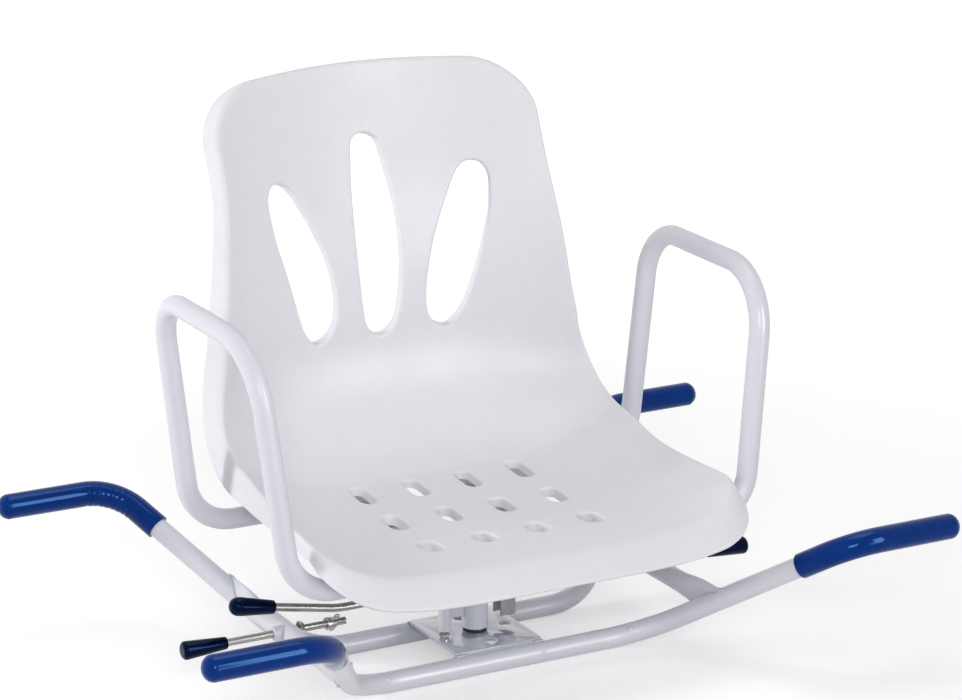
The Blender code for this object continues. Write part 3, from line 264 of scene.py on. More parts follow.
def roundEdges(bm, edges, width, segments):
    ops.bevel(
        bm, geom=edges, offset=width, offset_type="OFFSET", segments=segments, profile=0.5,
        affect="EDGES", clamp_overlap=True, material=-1,
    )
    return bm


def easeEdges(bm, width, least=28, segments=3):
    # rounds every edge sharper than an angle in degrees
    sharp = [e for e in bm.edges if e.is_manifold and e.calc_face_angle(0) > radians(least)]
    return roundEdges(bm, sharp, width, segments)


def combine(bm, other, operation="DIFFERENCE"):
    # an exact boolean of two closed meshes
    held = []
    for shape in (bm, other):
        ops.recalc_face_normals(shape, faces=shape.faces)
        held.append(meshObject("held", shape))
    modifier = held[0].modifiers.new("combine", "BOOLEAN")
    modifier.operation = operation
    modifier.solver = "EXACT"
    modifier.object = held[1]
    bm = withModifiers(held[0])
    discard(held[1])
    ops.remove_doubles(bm, verts=bm.verts, dist=fit["merge"])
    return bm


def arcPoints(radius, start, end, steps):
    angles = [start + (end - start) * i / steps for i in range(steps + 1)]
    return [(radius * cos(a), radius * sin(a)) for a in angles]


def smoothStep(share):
    share = min(max(share, 0.0), 1.0)
    return share * share * (3 - 2 * share)


# materials

def fill(tree, node, inputs):
    # each input is linked where a socket is given and set where a value is
    for key, value in inputs.items():
        if isinstance(value, bpy.types.NodeSocket):
            tree.links.new(value, node.inputs[key])
        else:
            node.inputs[key].default_value = value


def addNode(tree, kind, inputs, **settings):
    node = tree.nodes.new("ShaderNode" + kind)
    for name, value in settings.items():
        setattr(node, name, value)
    fill(tree, node, inputs)
    return node


def remap(tree, source, low, high, outLow=0.0, outHigh=1.0):
    inputs = {"Value": source, "From Min": low, "From Max": high, "To Min": outLow, "To Max": outHigh}
    return addNode(tree, "MapRange", inputs, interpolation_type="SMOOTHSTEP").outputs["Result"]


def scaledBy(tree, vector, amount):
    return addNode(tree, "VectorMath", {0: vector, 1: amount}, operation="MULTIPLY").outputs["Vector"]


def noise(tree, vector, scale, detail, roughness):
    inputs = {"Vector": vector, "Scale": scale, "Detail": detail, "Roughness": roughness}
    return addNode(tree, "TexNoise", inputs).outputs["Fac"]


def maths(tree, operation, first, second):
    return addNode(tree, "Math", {0: first, 1: second}, operation=operation).outputs["Value"]


def weighed(tree, first, share, second):
    parts = [maths(tree, "MULTIPLY", *part) for part in ((first, share), (second, 1 - share))]
    return maths(tree, "ADD", *parts)


def mixColours(tree, factor, first, second):
    # sockets 6 and 7 are the node's two colours, output 2 is their mix
    colours = [(*c, 1.0) if isinstance(c, tuple) else c for c in (first, second)]
    node = addNode(tree, "Mix", {"Factor": factor, 6: colours[0], 7: colours[1]}, data_type="RGBA")
    return node.outputs[2]


def makeGroup(name, inputs, build):
    # a node group on a vector and more inputs; build gives its outputs by name
    tree = bpy.data.node_groups.new(name, "ShaderNodeTree")
    for label, (kind, value) in {"Vector": ("Vector", (0, 0, 0)), **inputs}.items():
        socket = tree.interface.new_socket(label, in_out="INPUT", socket_type="NodeSocket" + kind)
        socket.default_value = value
    results = build(tree, tree.nodes.new("NodeGroupInput").outputs)
    for label in results:
        tree.interface.new_socket(label, in_out="OUTPUT", socket_type="NodeSocketFloat")
    fill(tree, tree.nodes.new("NodeGroupOutput"), results)
    return tree


def grainNodes(tree, given):
    # fine moulded or sprayed skin: small bumps over slow waves
    fine = noise(tree, given["Vector"], given["Fine Scale"], 3.0, 0.6)
    wave = noise(tree, given["Vector"], given["Wave Scale"], 1.0, 0.4)
    return {"Height": weighed(tree, fine, 0.35, wave), "Mottle": remap(tree, wave, 0.3, 0.7)}


def markNodes(tree, given):
    # soft clouds of handling marks that change the gloss, with a few faint scratches
    clouds = noise(tree, given["Vector"], given["Scale"], 4.0, 0.6)
    marks = noise(tree, scaledBy(tree, given["Vector"], (9.0, 70.0, 70.0)), given["Scale"], 2.0, 0.7)
    return {"Clouds": remap(tree, clouds, 0.38, 0.66), "Scratches": remap(tree, marks, 0.66, 0.74)}


def streakNodes(tree, given):
    # drawing marks along a bar; Stretch is small along the bar and large across it
    along = scaledBy(tree, given["Vector"], given["Stretch"])
    broad, fine = noise(tree, along, 5.0, 3.0, 0.6), noise(tree, along, 22.0, 3.0, 0.7)
    return {"Height": fine, "Tone": remap(tree, weighed(tree, broad, 0.6, fine), 0.35, 0.65)}


surfaceGrain = makeGroup("surfaceGrain", {"Fine Scale": ("Float", 900), "Wave Scale": ("Float", 60)}, grainNodes)
handlingMarks = makeGroup("handlingMarks", {"Scale": ("Float", 9)}, markNodes)
drawnStreaks = makeGroup("drawnStreaks", {"Stretch": ("Vector", (1, 1, 1))}, streakNodes)


def makeFinish(name, look):
    # one material from its look: two tones, gloss range, skin and marks
    look = {**plainLook, "scratch": look["shade"], **look}
    material = bpy.data.materials.new(name)
    material.use_nodes = True
    tree = material.node_tree
    place = tree.nodes.new("ShaderNodeTexCoord").outputs["Object"]
    inputs = {"Vector": place, "Fine Scale": look["fine"], "Wave Scale": look["wave"]}
    grain = addNode(tree, "Group", inputs, node_tree=surfaceGrain).outputs
    marks = addNode(tree, "Group", {"Vector": place, "Scale": 9}, node_tree=handlingMarks).outputs
    tone = "Mottle"
    if "stretch" in look:
        inputs = {"Vector": place, "Stretch": look["stretch"]}
        grain, tone = addNode(tree, "Group", inputs, node_tree=drawnStreaks).outputs, "Tone"
    colour = mixColours(tree, grain[tone], look["colour"], look["shade"])
    scratched = maths(tree, "MULTIPLY", marks["Scratches"], look["scratched"])
    gloss = remap(tree, marks["Clouds"], 0.0, 1.0, *look["gloss"])
    bump = {"Strength": look["bump"], "Distance": look["relief"], "Height": grain["Height"]}
    fill(tree, tree.nodes["Principled BSDF"], {
        "Base Color": mixColours(tree, scratched, colour, look["scratch"]),
        "Roughness": maths(tree, "ADD", gloss, maths(tree, "MULTIPLY", scratched, 0.1)),
        "Metallic": look["metal"], "IOR": look["ior"], "Specular Tint": (*look["sheen"], 1),
        "Coat Weight": look["coat"], "Coat Roughness": look["coatRough"], "Subsurface Weight": look["depth"],
        "Subsurface Radius": (1, 1, 1), "Subsurface Scale": 0.004,
        "Normal": addNode(tree, "Bump", bump).outputs["Normal"],
    })
    return material


plainLook = dict(
    relief=0.0002, scratched=0.2, metal=0.0, ior=1.5, sheen=(1, 1, 1), coat=0.0, coatRough=0.08, depth=0.0,
)
finishes = dict(
    seatPlastic=dict(
        colour=(0.80, 0.795, 0.835), shade=(0.792, 0.787, 0.828), gloss=(0.42, 0.52), fine=1400, wave=120,
        bump=0.12, scratched=0.10, depth=0.4,
    ),
    powderCoat=dict(
        colour=(0.73, 0.735, 0.80), shade=(0.718, 0.723, 0.79), gloss=(0.32, 0.40), fine=1300, wave=260,
        bump=0.16, scratched=0.15, coat=0.15, coatRough=0.12,
    ),
    plateEnamel=dict(
        colour=(0.52, 0.535, 0.61), shade=(0.49, 0.505, 0.58), gloss=(0.03, 0.06), fine=800, wave=160,
        bump=0.005, coat=1.0, coatRough=0.02,
    ),
    blueVinyl=dict(
        colour=(0.0005, 0.024, 0.185), shade=(0.0005, 0.020, 0.162), gloss=(0.07, 0.13), fine=700, wave=90,
        bump=0.06, relief=0.0003, scratched=0.1, scratch=(0.01, 0.06, 0.26), ior=1.38, sheen=(0.20, 0.50, 1.0),
    ),
    knobPlastic=dict(
        colour=(0.0005, 0.0014, 0.010), shade=(0.0007, 0.0018, 0.013), gloss=(0.07, 0.13), fine=900, wave=150,
        bump=0.05, scratch=(0.01, 0.015, 0.05), ior=1.32, sheen=(0.10, 0.28, 0.85),
    ),
    zincBar=dict(
        colour=(0.41, 0.39, 0.37), shade=(0.25, 0.24, 0.23), gloss=(0.24, 0.36), fine=1200, wave=200,
        bump=0.25, stretch=(2.0, 110.0, 110.0), metal=1.0, scratched=0.4, scratch=(0.65, 0.63, 0.60),
    ),
    zincPart=dict(
        colour=(0.45, 0.43, 0.40), shade=(0.32, 0.30, 0.28), gloss=(0.22, 0.38), fine=1500, wave=400,
        bump=0.2, metal=1.0, scratched=0.4, scratch=(0.66, 0.64, 0.60),
    ),
    darkSteel=dict(
        colour=(0.40, 0.395, 0.42), shade=(0.33, 0.325, 0.35), gloss=(0.38, 0.52), fine=1400, wave=300,
        bump=0.2, metal=0.2, scratched=0.4, scratch=(0.35, 0.35, 0.36),
    ),
    blackPlastic=dict(
        colour=(0.012, 0.012, 0.013), shade=(0.020, 0.020, 0.022), gloss=(0.30, 0.42), fine=1500, wave=300,
        bump=0.15, scratched=0.3, scratch=(0.06, 0.06, 0.06),
    ),
    nylon=dict(
        colour=(0.60, 0.60, 0.56), shade=(0.52, 0.52, 0.48), gloss=(0.42, 0.55), fine=1600, wave=300,
        bump=0.1, scratch=(0.70, 0.70, 0.66),
    ),
    weldPaint=dict(
        colour=(0.60, 0.61, 0.66), shade=(0.50, 0.51, 0.56), gloss=(0.26, 0.40), fine=900, wave=500,
        bump=0.45, relief=0.0004, scratched=0.3, scratch=(0.40, 0.40, 0.43), coat=0.2,
    ),
)
finish = {name: makeFinish(name, look) for name, look in finishes.items()}
print("materials made:", len(finish))


# rails, grips and cross tubes

rail = dict(
    width=0.740, spacing=0.100, flat=0.298, topX=0.257, topY=0.225, rise=0.121, footRadius=0.070,
    topRadius=0.050, rivet=0.0026,
    rivets=(
        ((-0.1182, -0.0585, 0.0160), (0.200, -0.772, 0.603)), ((0.0390, -0.0592, 0.0118), (0.0, -0.969, 0.246)),
        ((0.1288, -0.0603, 0.0188), (-0.369, -0.642, 0.672)),
    ),
)
grip = dict(
    wall=0.0020, nose=0.0100, noseSteps=12, onRamp=0.060, tailRound=0.0006, sides=44, steps=44,
    fold=0.00040, foldLong=0.0062, foldBend=0.004, foldPast=0.15,
)
cross = dict(x=0.187, tall=0.030, thick=0.008, crushed=0.016, blend=0.052, rings=72, rodZ=0.0545, rodHole=0.0076)
upRamp = (cross["x"] - rail["flat"] / 2) / (rail["topX"] - rail["flat"] / 2)
crossZ = tubeR + rail["rise"] * upRamp
rampY = rail["spacing"] / 2 + upRamp * (rail["topY"] - rail["spacing"] / 2)


def railPath(side, steps=tube["bendSteps"]):
    top, topY = tubeR + rail["rise"], side * rail["topY"]
    half = [
        (rail["flat"] / 2, side * rail["spacing"] / 2, tubeR), (rail["topX"], topY, top),
        (rail["width"] / 2 - grip["nose"], topY, top),
    ]
    corners = [(-x, y, z) for x, y, z in reversed(half)] + half
    return bendPath(corners, [rail[key + "Radius"] for key in ("top", "foot", "foot", "top")], steps)


def makeGrip(name, path):
    # a dipped sleeve: domed nose, rounded tail rim, and its bore turned back inside
    length = rail["width"] / 2 - grip["nose"] - rail["topX"] + grip["onRamp"] - 0.2 * rail["topRadius"]
    covered = pathEnd(path, length)
    frames = pathFrames(covered)
    bore, ease = tubeR + gap, grip["tailRound"]
    outer = bore + grip["wall"]
    nose = (covered[0] - covered[1]).normalized()
    places = []
    for step in range(1, grip["noseSteps"]):
        angle = pi / 2 * step / grip["noseSteps"]
        places.append(sized(shift(nose * grip["nose"] * cos(angle)) @ frames[0], outer * sin(angle)))
    places += [sized(place, outer) for place in frames[:-1]]
    back = (covered[-2] - covered[-1]).normalized()
    for turn in map(radians, (0, 30, 60, 90)):
        places.append(sized(shift(back * ease * (1 - sin(turn))) @ frames[-1], outer - ease * (1 - cos(turn))))
    places += [sized(place, bore) for place in reversed(frames)]
    bm = loft(places, grip["sides"], "point")
    foldSleeve(bm, covered, (bore + outer) / 2)
    dress(name, "sleeve", bm, "base", "blueVinyl")


def foldSleeve(bm, path, least):
    # soft gathers on the inside of the bend
    runs = [0.0]
    for here, there in zip(path, path[1:]):
        runs.append(runs[-1] + (there - here).length)
    for v in bm.verts:
        i = min(range(1, len(path) - 1), key=lambda k: (path[k] - v.co).length_squared)
        after, before = (path[i + 1] - path[i]).normalized(), (path[i] - path[i - 1]).normalized()
        off = v.co - path[i]
        off -= after * off.dot(after)
        if (after - before).length < grip["foldBend"] or off.length < least:
            continue
        inside = max(0.0, off.normalized().dot((after - before).normalized()) + grip["foldPast"])
        place = tau * (runs[i] + (v.co - path[i]).dot(after)) / grip["foldLong"]
        wave = sin(place) + 0.5 * sin(place * 0.43 + 1.0)
        v.co -= off.normalized() * grip["fold"] * inside * (0.75 + 0.5 * wave)


def rampLine(turn, side):
    # foot and direction of a ramp's axis
    foot = Vector((turn * rail["flat"] / 2, side * rail["spacing"] / 2, tubeR))
    head = Vector((turn * rail["topX"], side * rail["topY"], tubeR + rail["rise"]))
    return foot, (head - foot).normalized()


def makeCrossTube(name, turn):
    # round in the middle, crushed to a tall oval at both ends, coped to the ramps
    x, half = turn * cross["x"], rampY + tube["diameter"]
    roundEnd = rampY - cross["crushed"] - cross["blend"]
    points = [Vector((x, half * (2 * i / cross["rings"] - 1), crossZ)) for i in range(cross["rings"] + 1)]
    places = []
    for place, point in zip(pathFrames(points), points):
        amount = smoothStep((abs(point.y) - roundEnd) / cross["blend"])
        size = [tubeR * (1 + amount * (cross[key] / tube["diameter"] - 1)) for key in ("thick", "tall")]
        places.append(sized(place, *size))
    bm = loft(places)
    for _, side in frontRear:
        foot, along = rampLine(turn, side)
        outward = Vector((0, side, 0))
        outward = (outward - along * outward.dot(along)).normalized()
        every = bm.verts[:] + bm.edges[:] + bm.faces[:]
        ops.bisect_plane(bm, geom=every, plane_co=foot, plane_no=outward, clear_outer=True)
        ops.holes_fill(bm, edges=[e for e in bm.edges if e.is_boundary])
    for _, side in frontRear:
        bm = combine(bm, sweep(railPath(side), tubeR + gap, 48))
    ends = [(x + reach, 0, cross["rodZ"]) for reach in (-tube["diameter"], tube["diameter"])]
    dress(name, "body", combine(bm, roundBar(*ends, cross["rodHole"])), "base", "powderCoat")


for end, side in frontRear:
    dress(f"{end}_rail", "tube", sweep(railPath(side), tubeR), "base", "powderCoat")
    path = railPath(side, grip["steps"])
    makeGrip(f"grip_{end}_right", path)
    makeGrip(f"grip_{end}_left", path[::-1])
for label, turn in leftRight:
    makeCrossTube(f"cross_tube_{label}", turn)


weld = dict(radius=0.0013, step=0.0014, sides=12, lump=0.22, off=0.0006, crease=radians(80))


def makeWeld(name, points):
    # a lumpy bead laid along a chain of points
    chain, left = [points[0]], weld["step"]
    for here, there in zip(points, points[1:]):
        run = (there - here).length
        while left < run:
            chain.append(here.lerp(there, left / run))
            left += weld["step"]
        left -= run
    places = []
    for i, place in enumerate(pathFrames(chain)):
        size = 0.85 + weld["lump"] * sin(1.9 * i) * sin(0.53 * i + 1) + 0.1 * sin(4.3 * i)
        size *= 0.35 + 0.65 * smoothStep(min(i, len(chain) - 1 - i) / 3)
        places.append(sized(place, weld["radius"] * size))
    bm = loft(places, weld["sides"], "point", "point")
    finishPiece(name, bm, "base", "weldPaint", crease=weld["crease"])


def makeCrossWeld(name, turn, side):
    # a bead round a crushed end, where it meets the ramp
    foot, along = rampLine(turn, side)
    points = []
    for x, z in arcPoints(1.0, 0, tau, 60):
        wide = x * (cross["thick"] / 2 + weld["off"])
        spot = Vector((turn * cross["x"] + wide, 0, crossZ + z * cross["tall"] / 2))
        away = spot - foot
        square = 1 - along.y ** 2
        middle = away.y - away.dot(along) * along.y
        rest = away.dot(away) - away.dot(along) ** 2 - tubeR ** 2
        reach = sqrt(max(0.0, middle ** 2 - square * rest))
        spot.y = min([(-middle + sign * reach) / square for sign in (-1, 1)], key=abs)
        points.append(spot)
    makeWeld(name, points)


def makeRivet(number, place, out):
    # a small domed head on the face of the front rail
    size = rail["rivet"]
    profile = [(size * sin(a), size * 0.5 * cos(a)) for a in map(radians, (0, 25, 50, 75, 90))]
    bm = moved(turned(profile + [(size, -0.001), (0, -0.001)], steps=28), facing(place, out))
    finishPiece(f"front_rail_rivet_{number}", bm, "base", "powderCoat")


for label, turn in leftRight:
    for end, side in frontRear:
        makeCrossWeld(f"cross_weld_{label}_{end}", turn, side)
for number, (place, out) in enumerate(rail["rivets"], start=1):
    makeRivet(number, place, out)
print("rails, grips and cross tubes made")


# base plate and the spindle stack

plate = dict(
    width=0.088, depth=0.095, thick=0.003, corner=0.004, ring=0.031, holes=4, hole=0.0100, weldBend=0.0012,
    weld=(
        (0.0004, -0.0060, -0.0058), (0.0006, -0.0020, -0.0036), (-0.0004, 0.0008, -0.0026),
        (-0.0050, 0.0014, -0.0024), (-0.0120, 0.0014, -0.0024),
    ),
)
spindle = dict(
    diameter=0.016, flange=0.034, flangeThick=0.004, thread=0.012, proud=0.004, nutAcross=0.019, nutThick=0.008,
    washerThick=0.003, washer=0.022,
)
post = dict(diameter=0.0242, wall=0.0020, bush=0.020, bushFlange=0.030, bushFlangeThick=0.002)
carrier = dict(
    armZ=0.1245, railX=0.060, railWide=0.025, railTall=0.015, railWall=0.0015, overhang=0.010, plateWide=0.156,
    plateDeep=0.090, plateThick=0.003, round=0.0022,
)
plateLow = tube["diameter"] + gap
plateTop = plateLow + plate["thick"]
postLow = plateTop + 2 * gap + spindle["washerThick"]
seatRailTop = carrier["armZ"] - tubeR - gap
seatRailLow = seatRailTop - carrier["railTall"]
carryTop = seatRailLow - gap
carryLow = carryTop - carrier["plateThick"]
postTop = carryLow - gap
postR = post["diameter"] / 2
bushR = postR - post["wall"] - gap
bushTop = carryTop + gap + post["bushFlangeThick"]


def ringShape(low, high, outer, inner, ease=0.0003, steps=48):
    profile = [(inner, low), (inner, high), (outer, high), (outer, low), (inner, low)]
    return easeEdges(turned(profile, steps=steps), ease, segments=2)


def hexShape(across, low, high, bore=0.0):
    # a hexagon with the corners turned off at both faces
    half, size, slope, past, ease = across / 2, across / cos(pi / 6), 0.5, 0.001, 0.0002
    bm = pillar(0, 0, low, high, size, 6)
    chamfer = (size / 2 - half + past) * slope
    profile = [(0, low), (half - ease, low), (size / 2 + past, low + chamfer)]
    profile += [(size / 2 + past, high - chamfer), (half - ease, high), (0, high)]
    bm = combine(bm, turned(profile, steps=48), "INTERSECT")
    if bore:
        bm = combine(bm, pillar(0, 0, low - fit["past"], high + fit["past"], bore))
    return easeEdges(bm, ease, least=50, segments=2)


def makeBasePlate():
    halfX, halfY = plate["width"] / 2, plate["depth"] / 2
    bm = block((-halfX, -halfY, plateLow), (halfX, halfY, plateTop))
    roundEdges(bm, edgesAlong(bm, 2, plate["thick"] / 2), plate["corner"], 6)
    heights = plateLow - fit["past"], plateTop + fit["past"]
    holes = pillar(0, 0, *heights, spindle["diameter"] + 2 * gap)
    for x, y in arcPoints(plate["ring"], 0, tau, plate["holes"])[:-1]:
        pillar(x, y, *heights, plate["hole"], bm=holes)
    dress("base_plate", "body", easeEdges(combine(bm, holes), 0.0005), "base", "plateEnamel")
    for label, x in leftRight:
        for end, y in frontRear:
            corners = [Vector((x * (halfX + a), y * (halfY + b), plateTop + c)) for a, b, c in plate["weld"]]
            points = bendPath(corners, [plate["weldBend"]] * (len(corners) - 2), 4)
            makeWeld(f"plate_weld_{label}_{end}", points)


def makeSpindleStack():
    flangeTop = plateLow - gap
    shoulder = bushTop + gap
    top = shoulder + 2 * gap + spindle["washerThick"] + spindle["nutThick"] + spindle["proud"]
    threadR, shaftR, flangeR = (spindle[key] / 2 for key in ("thread", "diameter", "flange"))
    foot = flangeTop - spindle["flangeThick"]
    profile = [(0, top), (threadR - 0.001, top), (threadR, top - 0.001), (threadR, shoulder), (shaftR, shoulder)]
    profile += [(shaftR, flangeTop), (flangeR, flangeTop), (flangeR, foot), (0, foot)]
    bm = turned(profile, [0, 0, 0, 0.0003, 0, 0.0005, 0.0005])
    dress("spindle", "body", bm, "base", "zincPart")
    low = shoulder + gap
    bm = ringShape(low, low + spindle["washerThick"], post["bushFlange"] / 2, threadR + gap)
    dress("top_washer", "body", bm, "base", "zincPart")
    low += spindle["washerThick"] + gap
    bm = hexShape(spindle["nutAcross"], low, low + spindle["nutThick"], 2 * (threadR + gap))
    dress("spindle_nut", "body", bm, "base", "zincPart")
    low = plateTop + gap
    bm = ringShape(low, low + spindle["washerThick"], spindle["washer"] / 2, shaftR + gap)
    dress("thrust_washer", "body", bm, "base", "blackPlastic")


def makePost():
    bm = ringShape(postLow, postTop, postR, postR - post["wall"], 0.0004, 56)
    finishPiece("post_tube", bm, "seat", "powderCoat", ["swivel_tube"])
    bore = spindle["diameter"] / 2 + gap
    bm = ringShape(postLow, postLow + post["bush"], bushR, bore)
    dress("lower_bush", "body", bm, "seat", "nylon")
    low, flangeLow, flangeR = postTop - post["bush"], carryTop + gap, post["bushFlange"] / 2
    profile = [(bore, low), (bore, bushTop), (flangeR, bushTop), (flangeR, flangeLow), (bushR, flangeLow)]
    bm = turned(profile + [(bushR, low), (bore, low)], [0.0003, 0.0005, 0.0005, 0, 0.0003])
    dress("upper_bush", "body", bm, "seat", "nylon")


makeBasePlate()
makeSpindleStack()
makePost()
print("plate, spindle and post made")


# seat carrier and arms

arm = dict(
    topZ=0.3435, footX=0.227, topX=0.252, frontY=-0.094, rearY=0.115, topFrontY=-0.081, topRearY=0.116,
    innerX=0.042, footRadius=0.045, frontRadius=0.060, rearRadius=0.045, bore=0.0152, depth=0.015, head=0.002,
    ease=0.0005,
)
bolt = dict(y=(-0.060, 0.060), diameter=0.006, head=0.010, headThick=0.004, length=0.028)
pin = dict(
    x=-0.031, diameter=0.008, point=0.0015, housing=0.012, clear=0.0043, housingTop=0.070, webThick=0.004,
    webLow=0.038, collar=0.014, collarThick=0.004, collarLift=0.0012, wire=0.001, turns=5, coilSteps=28,
    springClear=0.0009, proud=0.0045,
)
guide = pin["diameter"] + fit["running"]
boltHole = bolt["diameter"] + 2 * gap


def makeCarrier():
    halfX, halfY = carrier["plateWide"] / 2, carrier["plateDeep"] / 2
    bm = block((-halfX, -halfY, carryLow), (halfX, halfY, carryTop))
    heights = carryLow - fit["past"], carryTop + fit["past"]
    holes = pillar(0, 0, *heights, 2 * (bushR + gap))
    pillar(pin["x"], 0, *heights, guide, bm=holes)
    dress("swivel_plate", "body", easeEdges(combine(bm, holes), 0.0006), "seat", "powderCoat")


def makeSeatRail(name, x):
    front, back = arm["frontY"] - carrier["overhang"], arm["rearY"] + carrier["overhang"]
    half, wall = carrier["railWide"] / 2, carrier["railWall"]
    bm = block((x - half, front, seatRailLow), (x + half, back, seatRailTop))
    roundEdges(bm, edgesAlong(bm, 1, 0.1), carrier["round"], 4)
    inner = half - wall
    inside = (x - inner, front - wall, seatRailLow + wall), (x + inner, back + wall, seatRailTop - wall)
    bm = combine(bm, block(*inside))
    holes = bmesh.new()
    for y in bolt["y"]:
        pillar(x, y, seatRailLow - fit["past"], seatRailTop + fit["past"], boltHole, 24, holes)
    dress(name, "tube", easeEdges(combine(bm, holes), 0.0002, 60, 2), "seat", "powderCoat")


def makeArm(name, side):
    # open tube ends: the loft starts deep in one bore and ends deep in the other
    corners = [
        (arm["innerX"], arm["frontY"], carrier["armZ"]), (arm["footX"], arm["frontY"], carrier["armZ"]),
        (arm["topX"], arm["topFrontY"], arm["topZ"]), (arm["topX"], arm["topRearY"], arm["topZ"]),
        (arm["footX"], arm["rearY"], carrier["armZ"]), (arm["innerX"], arm["rearY"], carrier["armZ"]),
    ]
    radii = [arm[key + "Radius"] for key in ("foot", "front", "rear", "foot")]
    frames = pathFrames(bendPath([(side * x, y, z) for x, y, z in corners], radii, 20))
    bore, ease = arm["bore"] / 2, arm["ease"]
    mouths = []
    for place, inward in ((frames[0], 1), (frames[-1], -1)):
        deep = lifted(place, inward * (arm["depth"] + 2 * fit["past"]))
        rim = lifted(place, inward * ease)
        mouths.append([sized(deep, bore), sized(place, bore), sized(place, tubeR - ease), sized(rim, tubeR)])
    bm = loft(mouths[0] + [sized(place, tubeR) for place in frames[1:-1]] + mouths[1][::-1])
    dress(name, "tube", bm, "seat", "powderCoat")
    spigot, depth, head = bore - gap, arm["depth"], -gap - arm["head"]
    profile = [(0, depth), (spigot - 0.001, depth), (spigot, depth - 0.002), (spigot, -gap)]
    profile += [(tubeR - gap, -gap), (tubeR - 0.001, head), (0, head)]
    for end, _ in frontRear:
        mouth = Vector((side * arm["innerX"], arm[end + "Y"], carrier["armZ"]))
        plug = moved(turned(profile, [0, 0.0004, 0, 0.0003, 0.0008]), facing(mouth, (side, 0, 0)))
        dress(f"{name}_plug_{end}", "cap", plug, "seat", "blackPlastic")


def makeSeatBolt(name, x, y):
    under = seatRailLow - gap
    head = hexShape(bolt["head"], under - bolt["headThick"], under)
    shank = pillar(0, 0, under - bolt["headThick"] / 2, under + bolt["length"], bolt["diameter"], 24)
    dress(name, "screw", moved(combine(head, shank, "UNION"), shift((x, y, 0))), "seat", "zincPart")


makeCarrier()
for label, side in leftRight:
    makeSeatRail(f"seat_rail_{label}", side * carrier["railX"])
for label, side in leftRight:
    makeArm(f"arm_{label}", side)
for label, side in leftRight:
    for (end, _), y in zip(frontRear, bolt["y"]):
        makeSeatBolt(f"seat_bolt_{end}_{label}", side * carrier["railX"], y)
print("carrier, arms and bolts made")


# lock pin, its housing, spring and lever

lever = dict(
    y=-0.014, z=0.0733, diameter=0.0075, bendX=-0.145, bendRadius=0.090, slope=radians(11), tipX=-0.250,
    innerX=-0.017, knobLong=0.0435, knobLarge=0.0170, knobSmall=0.0125, hold=0.026, pivotX=0.031, pivotPin=0.005,
    barrel=0.0100, crease=0.0005, ease=0.0006, rivet=0.0016, rivetRim=0.0015,
)
bracket = dict(wide=0.016, wall=0.002, low=0.033, taper=radians(-22), round=0.0025)
yoke = dict(
    thick=0.003, ring=0.0055, clear=0.0034, pinClear=0.0013, padEdge=0.006, padLip=0.002, inset=0.001,
)
yokeLow = lever["z"] + lever["diameter"] / 2 + gap
yokeTop = yokeLow + yoke["thick"]
collarLow = yokeTop + pin["collarLift"]
collarTop = collarLow + pin["collarThick"]
atPin = shift((pin["x"], 0, 0))


def makeLock():
    x, past = pin["x"], fit["past"]
    low, high, radius = plateTop + pin["clear"], pin["housingTop"], pin["housing"] / 2
    bm = moved(turned([(0, low), (radius, low), (radius, high), (0, high)], [0.0005, 0.0005]), atPin)
    half = pin["webThick"] / 2
    web = block((x, -half, pin["webLow"]), (-postR / 2, half, high - pin["webThick"]))
    bm = combine(bm, web, "UNION")
    bm = combine(bm, pillar(x, 0, low - past, high + past, guide))
    bm = combine(bm, pillar(0, 0, low - past, high + past, 2 * (postR + gap), 64))
    dress("lock_housing", "body", easeEdges(bm, 0.0004, least=50, segments=2), "seat", "powderCoat")

    top, bottom, tip = carryTop + pin["proud"], plateTop + gap, pin["diameter"] / 2
    profile = [(0, top), (tip, top), (tip, bottom + pin["point"]), (tip - pin["point"], bottom), (0, bottom)]
    dress("lock_pin", "body", moved(turned(profile, [0.0012, 0.0006, 0.0006]), atPin), "lock", "zincPart")
    bm = ringShape(collarLow, collarTop, pin["collar"] / 2, tip + gap, 0.0005)
    dress("lock_collar", "body", moved(bm, atPin), "lock", "zincPart")


def makeSpring():
    radius = pin["diameter"] / 2 + pin["springClear"] + pin["wire"] / 2
    low, high = collarTop + gap, carryLow - gap
    first, last = low + pin["wire"], high - pin["wire"]
    count = pin["turns"] * pin["coilSteps"]
    points = [
        Vector((pin["x"] + x, y, first + (last - first) * i / count))
        for i, (x, y) in enumerate(arcPoints(radius, 0, tau * pin["turns"], count))
    ]
    ends = [Vector((points[i].x, points[i].y, z)) for i, z in ((0, low), (-1, high))]
    bm = sweep([ends[0], *points, ends[1]], pin["wire"] / 2, 10)
    # its top turn stays under the carrier plate and its foot sits on the collar; it hangs on no body
    piece = dress("lock_spring", "coil", bm, None, "zincPart")
    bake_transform(piece)


def knobShape(large, small, length, bore, hold, face=0.0, crease=0.0):
    # tapered handle: rounded outer end, a moulded crease behind it, blind bore
    radius, ease = large / 2, 0.0018
    nose = radius - face / 2
    shoulder = length - nose
    profile = [(0, length)]
    for step in range(1 if face == 0 else 0, 13):
        angle = pi / 2 * step / 12
        profile.append((face / 2 + nose * sin(angle), length - nose * (1 - cos(angle))))
    if crease:
        profile[-1] = (radius, shoulder)
        for share, depth in ((0.6, 0.15), (1.2, 0.8), (1.7, 1.0), (2.2, 0.8), (2.8, 0.15), (3.4, 0)):
            profile.append((radius - crease * depth, shoulder - crease * share))
    for step in range(7):
        angle = pi / 2 * step / 6
        profile.append((small / 2 - ease * (1 - cos(angle)), ease * (1 - sin(angle))))
    return turned(profile + [(bore, 0), (bore, hold), (0, hold)], steps=48)


